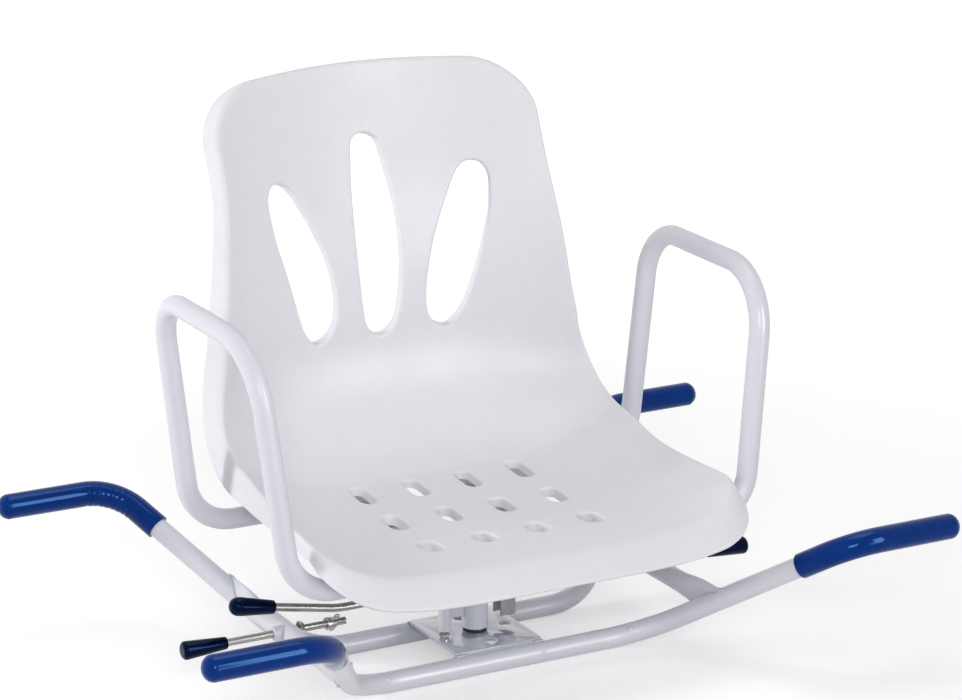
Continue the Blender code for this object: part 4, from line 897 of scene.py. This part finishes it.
def makeLever():
    y, z, radius, ease = lever["y"], lever["z"], lever["diameter"] / 2, lever["ease"]
    bend = Vector((lever["bendX"], y, z))
    tip = Vector((lever["tipX"], y, z + (lever["bendX"] - lever["tipX"]) * tan(lever["slope"])))
    outward = (tip - bend).normalized()
    foot = tip - outward * lever["knobLong"]
    path = bendPath([(lever["innerX"], y, z), bend, foot + outward * lever["hold"]], [lever["bendRadius"]])
    frames = pathFrames(path)
    start, end = frames[0], frames[-1]
    places = [sized(start, radius - ease), sized(lifted(start, ease), radius)]
    places += [sized(place, radius) for place in frames[1:-1]]
    places += [sized(lifted(end, -ease), radius), sized(end, radius - ease)]
    dress("lever_rod", "bar", loft(places, 32), "lever", "zincBar")
    size = [lever[key] for key in ("knobLarge", "knobSmall", "knobLong")]
    bm = knobShape(*size, radius + gap, lever["hold"] + gap, crease=lever["crease"])
    dress("lever_knob", "handle", moved(bm, facing(foot, outward)), "lever", "knobPlastic")


def pivotBar(reach, diameter, bm=None):
    ends = [(lever["pivotX"], side * reach, lever["z"]) for side in (-1, 1)]
    return roundBar(*ends, diameter, bm=bm)


def makeYoke():
    hole = postR + yoke["clear"]
    outer = hole + yoke["ring"]
    left = pin["x"] - pin["diameter"] - yoke["padEdge"]
    front = lever["y"] - lever["diameter"] / 2 - yoke["padLip"]
    innerWidth = bracket["wide"] - 2 * bracket["wall"] - 2 * gap
    tongue = innerWidth / 2 - yoke["inset"]
    turn = asin(tongue / outer)
    outline = [(left, front)] + arcPoints(outer, pi + asin(-front / outer), tau - turn, 36)
    outline += [(lever["pivotX"], -tongue), (lever["pivotX"], tongue)]
    outline += arcPoints(outer, turn, pi - asin(-front / 2 / outer), 48) + [(left, -front / 2)]
    bm = combine(slab(outline, yokeLow, yokeTop), pivotBar(innerWidth / 2, lever["barrel"]), "UNION")
    heights = yokeLow - fit["past"], yokeTop + fit["past"]
    holes = pillar(0, 0, *heights, 2 * hole, 64)
    pillar(pin["x"], 0, *heights, pin["diameter"] + 2 * yoke["pinClear"], bm=holes)
    pivotBar(bracket["wide"], lever["pivotPin"] + 2 * gap, holes)
    bm = easeEdges(combine(bm, holes), 0.0003, least=45, segments=2)
    dress("lever_yoke", "plate", bm, "lever", "darkSteel")


def makeBracket():
    x, low, top, half, wall = lever["pivotX"], bracket["low"], carryLow - gap, bracket["wide"] / 2, bracket["wall"]
    left = x - half
    bm = block((left, -half, low), (x + half, half, top))
    outer = [e for e in edgesAlong(bm, 2, 0.01) if e.verts[0].co.x > x]
    roundEdges(bm, outer, bracket["round"], 5)
    inside = (left - wall, wall - half, low - fit["past"]), (x + half - wall, half - wall, top + fit["past"])
    bm = combine(bm, block(*inside))
    taper = block((-0.020, -2 * half, -0.030), (0, 2 * half, 0.030))
    bm = combine(bm, moved(taper, shift((left, 0, low)) @ Matrix.Rotation(bracket["taper"], 4, "Y")))
    bm = combine(bm, pivotBar(bracket["wide"], lever["pivotPin"] + 2 * gap))
    bm = easeEdges(bm, 0.0003, least=45, segments=2)
    dress("pivot_bracket", "channel", bm, "seat", "darkSteel")
    radius, reach = lever["pivotPin"] / 2, half + gap
    rim, head = radius + lever["rivetRim"], reach + lever["rivet"]
    profile = [(0, head), (rim, head), (rim, reach), (radius, reach)]
    profile += [(r, -z) for r, z in reversed(profile)]
    bm = moved(turned(profile, [0.0009, 0, 0, 0, 0, 0.0009]), facing((x, 0, lever["z"]), (0, 1, 0)))
    dress("pivot_pin", "rivet", bm, "seat", "zincPart")


makeLock()
makeSpring()
makeLever()
makeYoke()
makeBracket()
print("lock and lever made")


# side adjusters

adjuster = dict(
    reach=0.290, rod=0.007, innerX=0.131, tipLong=0.043, tipLarge=0.0170, tipSmall=0.0115, face=0.009, hold=0.028,
    boss=0.013, bossLong=0.0065, nutAcross=0.013, nutShown=0.0036, pitch=0.00125, threadDeep=0.00030,
    threadFade=0.0015, boreFrom=0.16,
)
wing = dict(
    x=0.146, hubLong=0.009, hub=0.012, hubTaper=0.86, reach=0.012, thick=0.0024, turn=radians(35), lean=0.0040,
    tip=0.0028, root=0.0035,
)
rodBore = adjuster["rod"] / 2 + gap


def makeThreadedRod(start, end):
    # a bar with close rings, each point drawn in by where it is on the thread
    length = (end - start).length
    radius, pitch = adjuster["rod"] / 2, adjuster["pitch"]
    count = int(length / pitch * 4)
    bm = loft([sized(shift((0, 0, length * i / count)), radius) for i in range(count + 1)], 24)
    for v in bm.verts:
        turn = atan2(v.co.y, v.co.x) / tau
        share = (v.co.z / pitch - turn) % 1.0
        toEnd = min(v.co.z, length - v.co.z)
        edge = smoothStep(toEnd / adjuster["threadFade"])
        draw = 1 - adjuster["threadDeep"] / radius * (1 - abs(2 * share - 1)) * edge
        v.co.xy *= draw * (0.85 if toEnd < 1e-6 else 1.0)
    return moved(bm, facing(start, end - start))


def makeAdjuster(label, side):
    out, axis = Vector((side, 0, 0)), Vector((0, 0, cross["rodZ"]))
    body, along = f"adjuster_{label}", facing(axis, (side, 0, 0))
    foot = axis + out * (adjuster["reach"] - adjuster["tipLong"])
    size = [adjuster[key] for key in ("tipLarge", "tipSmall", "tipLong")]
    bm = knobShape(*size, rodBore, adjuster["hold"] + gap, adjuster["face"])
    dress(f"adjuster_tip_{label}", "pad", moved(bm, facing(foot, out)), body, "knobPlastic")
    bm = makeThreadedRod(axis + out * adjuster["innerX"], foot + out * adjuster["hold"])
    dress(f"adjuster_rod_{label}", "thread", bm, body, "zincBar")

    x, radius = cross["x"], adjuster["boss"] / 2
    outer = x + tubeR + adjuster["bossLong"]
    bm = moved(turned([(0, x), (radius, x), (radius, outer), (0, outer)], [0, 0.0010]), along)
    ends = [(side * x, y, crossZ) for y in (-adjuster["boss"], adjuster["boss"])]
    bm = combine(bm, roundBar(*ends, tube["diameter"] + 2 * gap, 64))
    ends = [axis + out * reach for reach in (adjuster["boreFrom"], outer + fit["past"])]
    bm = combine(bm, roundBar(*ends, 2 * rodBore))
    dress(f"rod_boss_{label}", "sleeve", bm, "base", "powderCoat")

    nutOuter = x - tubeR - gap
    bm = hexShape(adjuster["nutAcross"], nutOuter - adjuster["nutShown"], nutOuter, 2 * rodBore)
    dress(f"inner_nut_{label}", "hex", moved(bm, along), "base", "zincPart")
    makeWingNut(label, side, axis + out * wing["x"])


def makeWingNut(label, side, centre):
    half, radius = wing["hubLong"] / 2, wing["hub"] / 2
    profile = [(0, half), (radius, half), (radius * wing["hubTaper"], -half), (0, -half)]
    hub = moved(turned(profile, [0.0006, 0.0009]), facing(centre, (side, 0, 0)))
    tip = Vector((wing["lean"], wing["reach"] - wing["tip"]))
    outline = [(-wing["root"], radius * 0.4), (wing["root"], radius * 0.4)]
    outline += [tuple(tip + Vector(p)) for p in arcPoints(wing["tip"], radians(-20), radians(194.4), 16)]
    for turn in (0, pi):
        ear = easeEdges(slab(outline, -wing["thick"] / 2, wing["thick"] / 2), 0.0008, least=60)
        place = shift(centre) @ Matrix.Rotation(wing["turn"] + turn, 4, "X")
        place = place @ Matrix.Diagonal((-side, 1, 1, 1)) @ Matrix.Rotation(pi / 2, 4, "X")
        hub = combine(hub, moved(ear, place), "UNION")
    through = Vector((2 * wing["reach"], 0, 0))
    hub = combine(hub, roundBar(centre - through, centre + through, 2 * rodBore))
    dress(f"wing_nut_{label}", "cast", hub, f"wing_{label}", "zincPart")


for label, side in leftRight:
    makeAdjuster(label, side)
print("adjusters made")


# seat shell

shell = dict(
    wall=0.004, frontY=-0.135, length=0.212, bend=0.107, bendTurn=radians(97), lumbar=0.260,
    lumbarTurn=radians(-27), straight=0.055, top=0.070, topTurn=radians(8), arch=0.014, frontCorner=0.048,
    topCorner=0.050, across=96, along=140, rings=18, lipSide=0.006, lipFront=0.028, lipTop=0.0058, roll=0.009,
    frontDrop=0.022, topDrop=0.005, lift=0.009, liftFrom=0.100, liftTop=0.250, liftTo=0.390, boss=0.016,
    drainX=(-0.081, -0.027, 0.027, 0.081), drainY=(-0.069, -0.002, 0.063), drainDeep=(0.0100, 0.0088, 0.0074),
    drainWide=(0.0180, 0.0168, 0.0158), drainLong=(0.0290, 0.0335, 0.0370), drainDraft=0.0018, mouth=0.0024,
    slotDeep=0.0095, panelX=0.138, panelFrom=0.050, panelTo=0.238, panelDeep=0.0009, panelEdge=0.012,
    bead=0.0010, beadFrom=0.84, beadLong=0.10, thinner=0.3, thinFrom=0.006, thinLong=0.016, frontPower=1.8,
    topPower=8, flange=0.0022, flangeEase=0.0006, cutPast=0.020, rollWall=0.62, rimWall=0.80, rimRound=0.0011,
)
seatZ = carrier["armZ"] + tubeR + gap + shell["wall"]
bendLong = shell["bend"] * shell["bendTurn"]
backStart = shell["length"] + bendLong
centreRuns = (
    (shell["length"], 0.0), (bendLong, shell["bendTurn"]),
    (-shell["lumbar"] * shell["lumbarTurn"], shell["lumbarTurn"]),
    (shell["straight"], 0.0), (shell["top"], shell["topTurn"]),
)
shellLong = sum(run for run, _ in centreRuns)

# place along the centre line, half width, crest height, how late the side rises, lip depth
sections = (
    (0.000, 0.2075, 0.025, 5.0, 0.008),
    (shell["length"] * 0.64, 0.195, 0.030, 4.6, 0.017),
    (shell["length"], 0.194, 0.046, 4.0, 0.028),
    (backStart - bendLong / 2, 0.190, 0.052, 3.4, 0.037),
    (backStart, 0.180, 0.050, 2.9, 0.036),
    (backStart + 0.035, 0.175, 0.042, 2.6, 0.032),
    (backStart + 0.090, 0.1685, 0.039, 2.3, 0.026),
    (backStart + 0.150, 0.1615, 0.041, 2.1, 0.023),
    (shellLong, 0.161, 0.036, 1.9, 0.032),
)


def sectionAt(along):
    # a smooth curve through the sections' values
    stations = [section[0] for section in sections]
    i = max(k for k in range(len(sections) - 1) if k == 0 or stations[k] <= along)
    span = stations[i + 1] - stations[i]
    share = min(max((along - stations[i]) / span, 0.0), 1.0)
    cube, square = share ** 3, share ** 2
    values = []
    for k in range(1, 5):
        slopes = []
        for j in (i, i + 1):
            low, high = max(j - 1, 0), min(j + 1, len(sections) - 1)
            slopes.append((sections[high][k] - sections[low][k]) / (stations[high] - stations[low]) * span)
        value = (2 * cube - 3 * square + 1) * sections[i][k] + (cube - 2 * square + share) * slopes[0]
        values.append(value + (3 * square - 2 * cube) * sections[i + 1][k] + (cube - square) * slopes[1])
    return values


def centreAt(along):
    # point, direction and sitter's-side normal of the centre line
    point, heading, left = Vector((0, shell["frontY"], seatZ)), 0.0, along
    for i, (run, turn) in enumerate(centreRuns):
        part = left if i == len(centreRuns) - 1 else min(left, run)
        swept = turn * part / run
        middle = heading + swept / 2
        chord = part * (sin(swept / 2) / (swept / 2) if swept else 1.0)
        point = point + Vector((0, cos(middle), sin(middle))) * chord
        heading += swept
        left -= part
        if left <= 0:
            break
    return point, Vector((0, cos(heading), sin(heading))), Vector((0, -sin(heading), cos(heading)))


def shellPoint(across, along):
    width, rise, power, _ = sectionAt(along)
    point, _, normal = centreAt(along)
    share, edge = min(abs(across) / width, 1.2), shell["panelEdge"]
    rising = smoothStep((along - shell["liftFrom"]) / (shell["liftTop"] - shell["liftFrom"]))
    falling = smoothStep((along - shell["liftTop"]) / (shell["liftTo"] - shell["liftTop"]))
    lift = shell["lift"] * (rising - falling) * max(0.0, 1 - share ** 4)
    panel = smoothStep((shell["panelX"] - abs(across)) / edge + 0.5)
    panel *= smoothStep((along - shell["panelFrom"]) / edge) * smoothStep((shell["panelTo"] - along) / edge)
    lift -= shell["panelDeep"] * panel
    return point + Vector((across, 0, 0)) + normal * (rise * share ** power + lift)


def shellNormal(across, along):
    step = 0.0005
    over = shellPoint(across + step, along) - shellPoint(across - step, along)
    up = shellPoint(across, along + step) - shellPoint(across, along - step)
    return over.cross(up).normalized()


def roundCorner(across, along, cornerAcross, cornerAlong):
    size = max(abs(across), abs(along))
    if size < 1e-9:
        return 0.0, 0.0
    x, y = abs(across) / size, abs(along) / size
    cx, cy = cornerAcross * size, cornerAlong * size
    if x > 1 - cx and y > 1 - cy:
        path = y - (1 - cy) if x >= y else cy + (1 - x)
        angle = path / (cx + cy) * pi / 2
        x, y = 1 - cx + cx * cos(angle), 1 - cy + cy * sin(angle)
    return copysign(x * size, across), copysign(y * size, along)


def shellPlace(u, v):
    # the unit square onto the shell's own plan
    corner = shell["topCorner"] if v > 0 else shell["frontCorner"]
    width = sectionAt(shellLong if v > 0 else 0.0)[0]
    u, v = roundCorner(u, v, corner / width, corner / (shellLong / 2))
    along = shellLong * (v + 1) / 2
    arch = shell["arch"] * smoothStep((along - backStart) / (shellLong - backStart))
    return u * sectionAt(along)[0], along - arch * u * u


def lipCurve(loop, places, i):
    # start, middle and end of the rolled lip at one point of the rim, and its flat outward way
    here = loop[i]
    across, along = places[here.index]
    normal = shellNormal(across, along)
    outward = (loop[(i + 1) % len(loop)].co - loop[i - 1].co).normalized().cross(normal)
    inner = shellPoint(across * 0.9, shellLong / 2 + (along - shellLong / 2) * 0.95)
    if outward.dot(here.co - inner) < 0:
        outward = -outward
    _, direction, reference = centreAt(along)
    flat = (outward - reference * outward.dot(reference)).normalized()
    front = max(0.0, -flat.dot(direction)) ** shell["frontPower"] if along <= shellLong / 2 else 0.0
    top = max(0.0, flat.dot(direction)) ** shell["topPower"] if along > shellLong / 2 else 0.0
    side = 1 - front - top
    out = shell["lipSide"] * side + shell["lipFront"] * front + shell["lipTop"] * top
    drop = sectionAt(along)[3] * side + shell["frontDrop"] * front + shell["topDrop"] * top
    start = here.co.copy()
    return start, start + outward * shell["roll"], start + flat * out - reference * drop, flat


def orderedLoop(edges):
    start, edge = edges[0].verts[0], edges[0]
    loop, vertex = [start], edge.other_vert(start)
    while vertex is not start:
        loop.append(vertex)
        edge = next(e for e in vertex.link_edges if e.is_boundary and e is not edge)
        vertex = edge.other_vert(vertex)
    return loop


def extrudeTo(bm, loop, targets):
    # carries an ordered loop on to new places
    edges = []
    for vertex, after in zip(loop, loop[1:] + loop[:1]):
        edges.append(next(e for e in vertex.link_edges if e.other_vert(vertex) is after))
    old = [tuple(round(c, 7) for c in v.co) for v in loop]
    made = newVerts(ops.extrude_edge_only(bm, edges=edges))
    fresh = {tuple(round(c, 7) for c in v.co): v for v in made}
    ring = [fresh[place] for place in old]
    for vertex, target in zip(ring, targets):
        vertex.co = target
    return ring


def makeSkin():
    # the sitter's side, with the lip rolled on to its rim; a weight holds each point's wall
    bm = bmesh.new()
    weights = bm.verts.layers.deform.verify()
    ops.create_grid(bm, x_segments=shell["across"], y_segments=shell["along"], size=1.0)
    places = {}
    for vertex in bm.verts:
        places[vertex.index] = shellPlace(vertex.co.x, vertex.co.y)
        vertex.co = shellPoint(*places[vertex.index])
    bm.verts.ensure_lookup_table()
    loop = orderedLoop([e for e in bm.edges if e.is_boundary])
    curves = [lipCurve(loop, places, i) for i in range(len(loop))]
    for vertex in bm.verts:
        vertex[weights][0] = 1.0
    for number in range(1, shell["rings"] + 1):
        t = number / shell["rings"]
        bead = shell["bead"] * smoothStep((t - shell["beadFrom"]) / shell["beadLong"])
        loop = extrudeTo(bm, loop, [
            a * (1 - t) ** 2 + b * 2 * t * (1 - t) + c * t * t + flat * bead for a, b, c, flat in curves
        ])
        for vertex, (start, _, end, _) in zip(loop, curves):
            shallow = 1 - smoothStep(((end - start).length - shell["thinFrom"]) / shell["thinLong"])
            roll, rim = (shell[key] * (1 - shell["thinner"] * shallow) for key in ("rollWall", "rimWall"))
            vertex[weights][0] = roll + (rim - roll) * smoothStep((t - 0.4) / 0.6)
    ops.recalc_face_normals(bm, faces=bm.faces)
    middle = min(bm.faces, key=lambda face: (face.calc_center_median() - Vector((0, 0, seatZ))).length)
    if middle.normal.z < 0:
        ops.reverse_faces(bm, faces=bm.faces)
    return bm


# slot rows from the top down: height, inner edge, outer edge
middleSlot = (
    (0.4405, 0.0, 0.0), (0.4380, -0.0090, 0.0090), (0.4310, -0.0138, 0.0138), (0.4110, -0.0173, 0.0173),
    (0.3860, -0.0207, 0.0207), (0.3600, -0.0226, 0.0226), (0.3350, -0.0228, 0.0228), (0.3100, -0.0218, 0.0218),
    (0.2870, -0.0195, 0.0195), (0.2680, -0.0160, 0.0160), (0.2570, -0.0090, 0.0090), (0.2535, 0.0, 0.0),
)
sideSlot = (
    (0.4090, 0.1002, 0.1002), (0.4060, 0.0905, 0.1085), (0.3960, 0.0820, 0.1130), (0.3800, 0.0735, 0.1125),
    (0.3600, 0.0640, 0.1095), (0.3400, 0.0560, 0.1040), (0.3200, 0.0505, 0.0983), (0.3000, 0.0470, 0.0925),
    (0.2850, 0.0465, 0.0880), (0.2700, 0.0485, 0.0823), (0.2590, 0.0550, 0.0745), (0.2540, 0.0662, 0.0662),
)


def alongAtHeight(x, z):
    low, high = shell["length"] + 0.05, shellLong + 0.02
    for _ in range(40):
        middle = (low + high) / 2
        if shellPoint(x, middle).z < z:
            low = middle
        else:
            high = middle
    return (low + high) / 2


def smoothLoop(points, between=6):
    # a rounder closed outline through the given points
    result = []
    for i in range(len(points)):
        a, b, c, d = (Vector(points[(i + k) % len(points)]) for k in (-1, 0, 1, 2))
        for t in (k / between for k in range(between)):
            curve = 2 * b + (c - a) * t + (2 * a - 5 * b + 4 * c - d) * t * t + (3 * b - a - 3 * c + d) * t ** 3
            result.append(0.5 * curve)
    return result


def slotPlan(rows, side):
    inner = [(side * row[1], row[0]) for row in rows]
    outer = [(side * row[2], row[0]) for row in rows[-2:0:-1]]
    return smoothLoop([(x, alongAtHeight(x, z)) for x, z in inner + outer])


def drainPlan(x, row):
    radius = shell["drainWide"][row] / 2
    y, reach = shell["drainY"][row] - shell["frontY"], shell["drainLong"][row] / 2 - radius
    plan = []
    for end, start in ((1, 0), (-1, pi)):
        plan += [Vector((x + px, y + end * reach + py)) for px, py in arcPoints(radius, start, start + pi, 14)]
    return plan


def outwardNormals(plan):
    area = sum(a.x * b.y - b.x * a.y for a, b in zip(plan, plan[1:] + plan[:1]))
    normals = []
    for before, after in zip(plan[-1:] + plan[:-1], plan[1:] + plan[:1]):
        run = (after - before).normalized()
        normals.append(Vector((run.y, -run.x)) * (1 if area > 0 else -1))
    return normals


def surfaceLoft(bm, plan, steps, hollow=False):
    # rings that follow the shell: each step is (offset outwards, height over the skin)
    rings, normals = [], outwardNormals(plan)
    for offset, height in steps:
        spots = [p + n * offset for p, n in zip(plan, normals)]
        rings.append([shellPoint(*spot) + shellNormal(*spot) * height for spot in spots])
    first = loop = [bm.verts.new(co) for co in rings[0]]
    for pair in zip(loop, loop[1:] + loop[:1]):
        bm.edges.new(pair)
    for ring in rings[1:]:
        loop = extrudeTo(bm, loop, ring)
    if hollow:
        ends = [e for e in bm.edges if e.is_boundary and (e.verts[0] in first or e.verts[0] in loop)]
        ops.bridge_loops(bm, edges=ends)
    else:
        bm.faces.new(first)
        bm.faces.new(loop)


def mouthSteps(deep, draft):
    # a trumpet mouth: high over the skin, round its edge, then narrowing to the far side
    r, past = shell["mouth"], shell["cutPast"]
    steps = [(r * 1.3, past), (r * 1.3, r * 0.14)]
    steps += [(r * (1 - sin(turn)), -r * (1 - cos(turn))) for turn in map(radians, range(15, 91, 15))]
    return steps + [(-draft, -deep), (-draft, -deep - past)]


def flangeSteps(deep, draft):
    wall, ease, inside = shell["flange"], shell["flangeEase"], -0.001 - draft
    outside = [(wall + 0.0015, -0.0020), (wall + 0.0004, -0.0046), (wall, -0.0056), (wall, -deep + ease)]
    return outside + [(wall - ease, -deep), (inside, -deep), (inside, -0.0020)]


def thickSkin():
    # the skin given its wall, with the two edges of the rim rounded
    bm = makeSkin()
    bm.verts.index_update()
    rimPairs = {tuple(sorted(v.index for v in e.verts)) for e in bm.edges if e.is_boundary}
    skin = meshObject("skin", bm)
    skin.vertex_groups.new(name="wall")
    wall = skin.modifiers.new("wall", "SOLIDIFY")
    wall.vertex_group = "wall"
    wall.thickness = shell["wall"]
    wall.offset = -1
    wall.use_even_offset = True
    bm = withModifiers(skin)
    bm.verts.ensure_lookup_table()
    count = len(bm.verts) // 2
    rim = [e for e in bm.edges if tuple(sorted(v.index % count for v in e.verts)) in rimPairs]
    rim = [e for e in rim if abs(e.verts[0].index - e.verts[1].index) % count]
    return roundEdges(bm, rim, shell["rimRound"], 4)


def makeSeatShell():
    added, cutters = bmesh.new(), bmesh.new()
    plans = [(slotPlan(middleSlot, 1), shell["slotDeep"], 0.0)]
    plans += [(slotPlan(sideSlot, side), shell["slotDeep"], 0.0) for side in (-1, 1)]
    for row, deep in enumerate(shell["drainDeep"]):
        plans += [(drainPlan(x, row), deep, shell["drainDraft"]) for x in shell["drainX"]]
    for plan, deep, draft in plans:
        surfaceLoft(added, plan, flangeSteps(deep, draft), hollow=True)
        surfaceLoft(cutters, plan, mouthSteps(deep, draft))
    foot, boltTop = seatRailTop + gap, seatRailLow + bolt["length"] + gap
    for x in (-carrier["railX"], carrier["railX"]):
        for y in bolt["y"]:
            head = shellPoint(x, y - shell["frontY"]).z - shell["wall"] / 2
            pillar(x, y, foot, head, shell["boss"], bm=added)
            pillar(x, y, foot - fit["past"], boltTop, boltHole, 24, cutters)
    bm = combine(combine(thickSkin(), added, "UNION"), cutters)
    piece = dress("seat_shell", "moulding", bm, "seat", "seatPlastic")
    print("seat shell:", len(piece.data.polygons), "faces")


makeSeatShell()


# floor, light and camera

studio = dict(
    floor=0.80, floorGlow=0.40, farGlow=0.38, near=0.5, far=2.0, worldLevel=0.33, floorSize=30.0,
    lookAt=(0.0, 0.0, 0.2),
)
lamps = dict(
    front=dict(place=(-1.20, -2.50, 1.34), size=0.8, tall=0.8, power=28.0),
    right=dict(place=(0.80, -2.85, 0.40), size=1.1, tall=0.4, power=11.0),
    side=dict(place=(-2.60, 1.45, 0.83), size=0.55, tall=0.55, power=42.0, shines=False),
    top=dict(place=(0.3, 0.2, 3.0), size=1.5, tall=1.5, power=18.0),
    card=dict(place=(1.05, -2.75, 1.25), size=0.9, tall=1.6, power=52.0, lights=False),
)
camera = dict(place=(-1.4711, -2.7344, 1.2192), tilt=(73.295, 0.0, -28.385), lens=136.37, sensor=36.0)


def seenStraight(tree):
    # 1 for rays that show the white itself, 0 for those that carry its light
    rays = tree.nodes.new("ShaderNodeLightPath").outputs
    seen = maths(tree, "MAXIMUM", rays["Is Camera Ray"], rays["Is Glossy Ray"])
    return maths(tree, "MAXIMUM", seen, rays["Is Transmission Ray"])


def makeFloor():
    bm = bmesh.new()
    ops.create_grid(bm, x_segments=1, y_segments=1, size=studio["floorSize"] / 2)
    floor = meshObject("studio_floor", bm)
    material = bpy.data.materials.new("studioFloor")
    material.use_nodes = True
    tree = material.node_tree
    place = tree.nodes.new("ShaderNodeTexCoord").outputs["Object"]
    reach = addNode(tree, "VectorMath", {0: place}, operation="LENGTH").outputs["Value"]
    glow = studio["floorGlow"], studio["floorGlow"] + studio["farGlow"]
    glow = remap(tree, reach, studio["near"], studio["far"], *glow)
    fill(tree, tree.nodes["Principled BSDF"], {
        "Base Color": (studio["floor"],) * 3 + (1.0,), "Roughness": 0.9, "Specular IOR Level": 0.1,
        "Emission Color": (1, 1, 1, 1), "Emission Strength": maths(tree, "MULTIPLY", seenStraight(tree), glow),
    })
    floor.data.materials.append(material)


def makeWorld():
    world = bpy.data.worlds.new("studio")
    scene.world = world
    world.use_nodes = True
    tree = world.node_tree
    level = maths(tree, "MULTIPLY", seenStraight(tree), 1.0 - studio["worldLevel"])
    strength = maths(tree, "ADD", level, studio["worldLevel"])
    fill(tree, tree.nodes["Background"], {"Color": (1, 1, 1, 1), "Strength": strength})


def makeLamp(name, look):
    lamp = bpy.data.lights.new(name, "AREA")
    lamp.shape = "RECTANGLE"
    lamp.size, lamp.size_y = look["size"], look["tall"]
    lamp.energy = look["power"]
    item = newObject(name, lamp)
    item.visible_diffuse = look.get("lights", True)
    item.visible_glossy = look.get("shines", True)
    item.location = look["place"]
    aim = Vector(studio["lookAt"]) - Vector(look["place"])
    item.rotation_euler = aim.to_track_quat("-Z", "Y").to_euler()


makeFloor()
makeWorld()
for lampName, look in lamps.items():
    makeLamp(lampName, look)
cameraData = bpy.data.cameras.new("photo_view")
cameraData.lens = camera["lens"]
cameraData.sensor_width = camera["sensor"]
view = newObject("photo_view", cameraData)
view.location = camera["place"]
view.rotation_euler = [radians(a) for a in camera["tilt"]]
scene.camera = view
scene.view_settings.view_transform = "Standard"

print("scene ready")
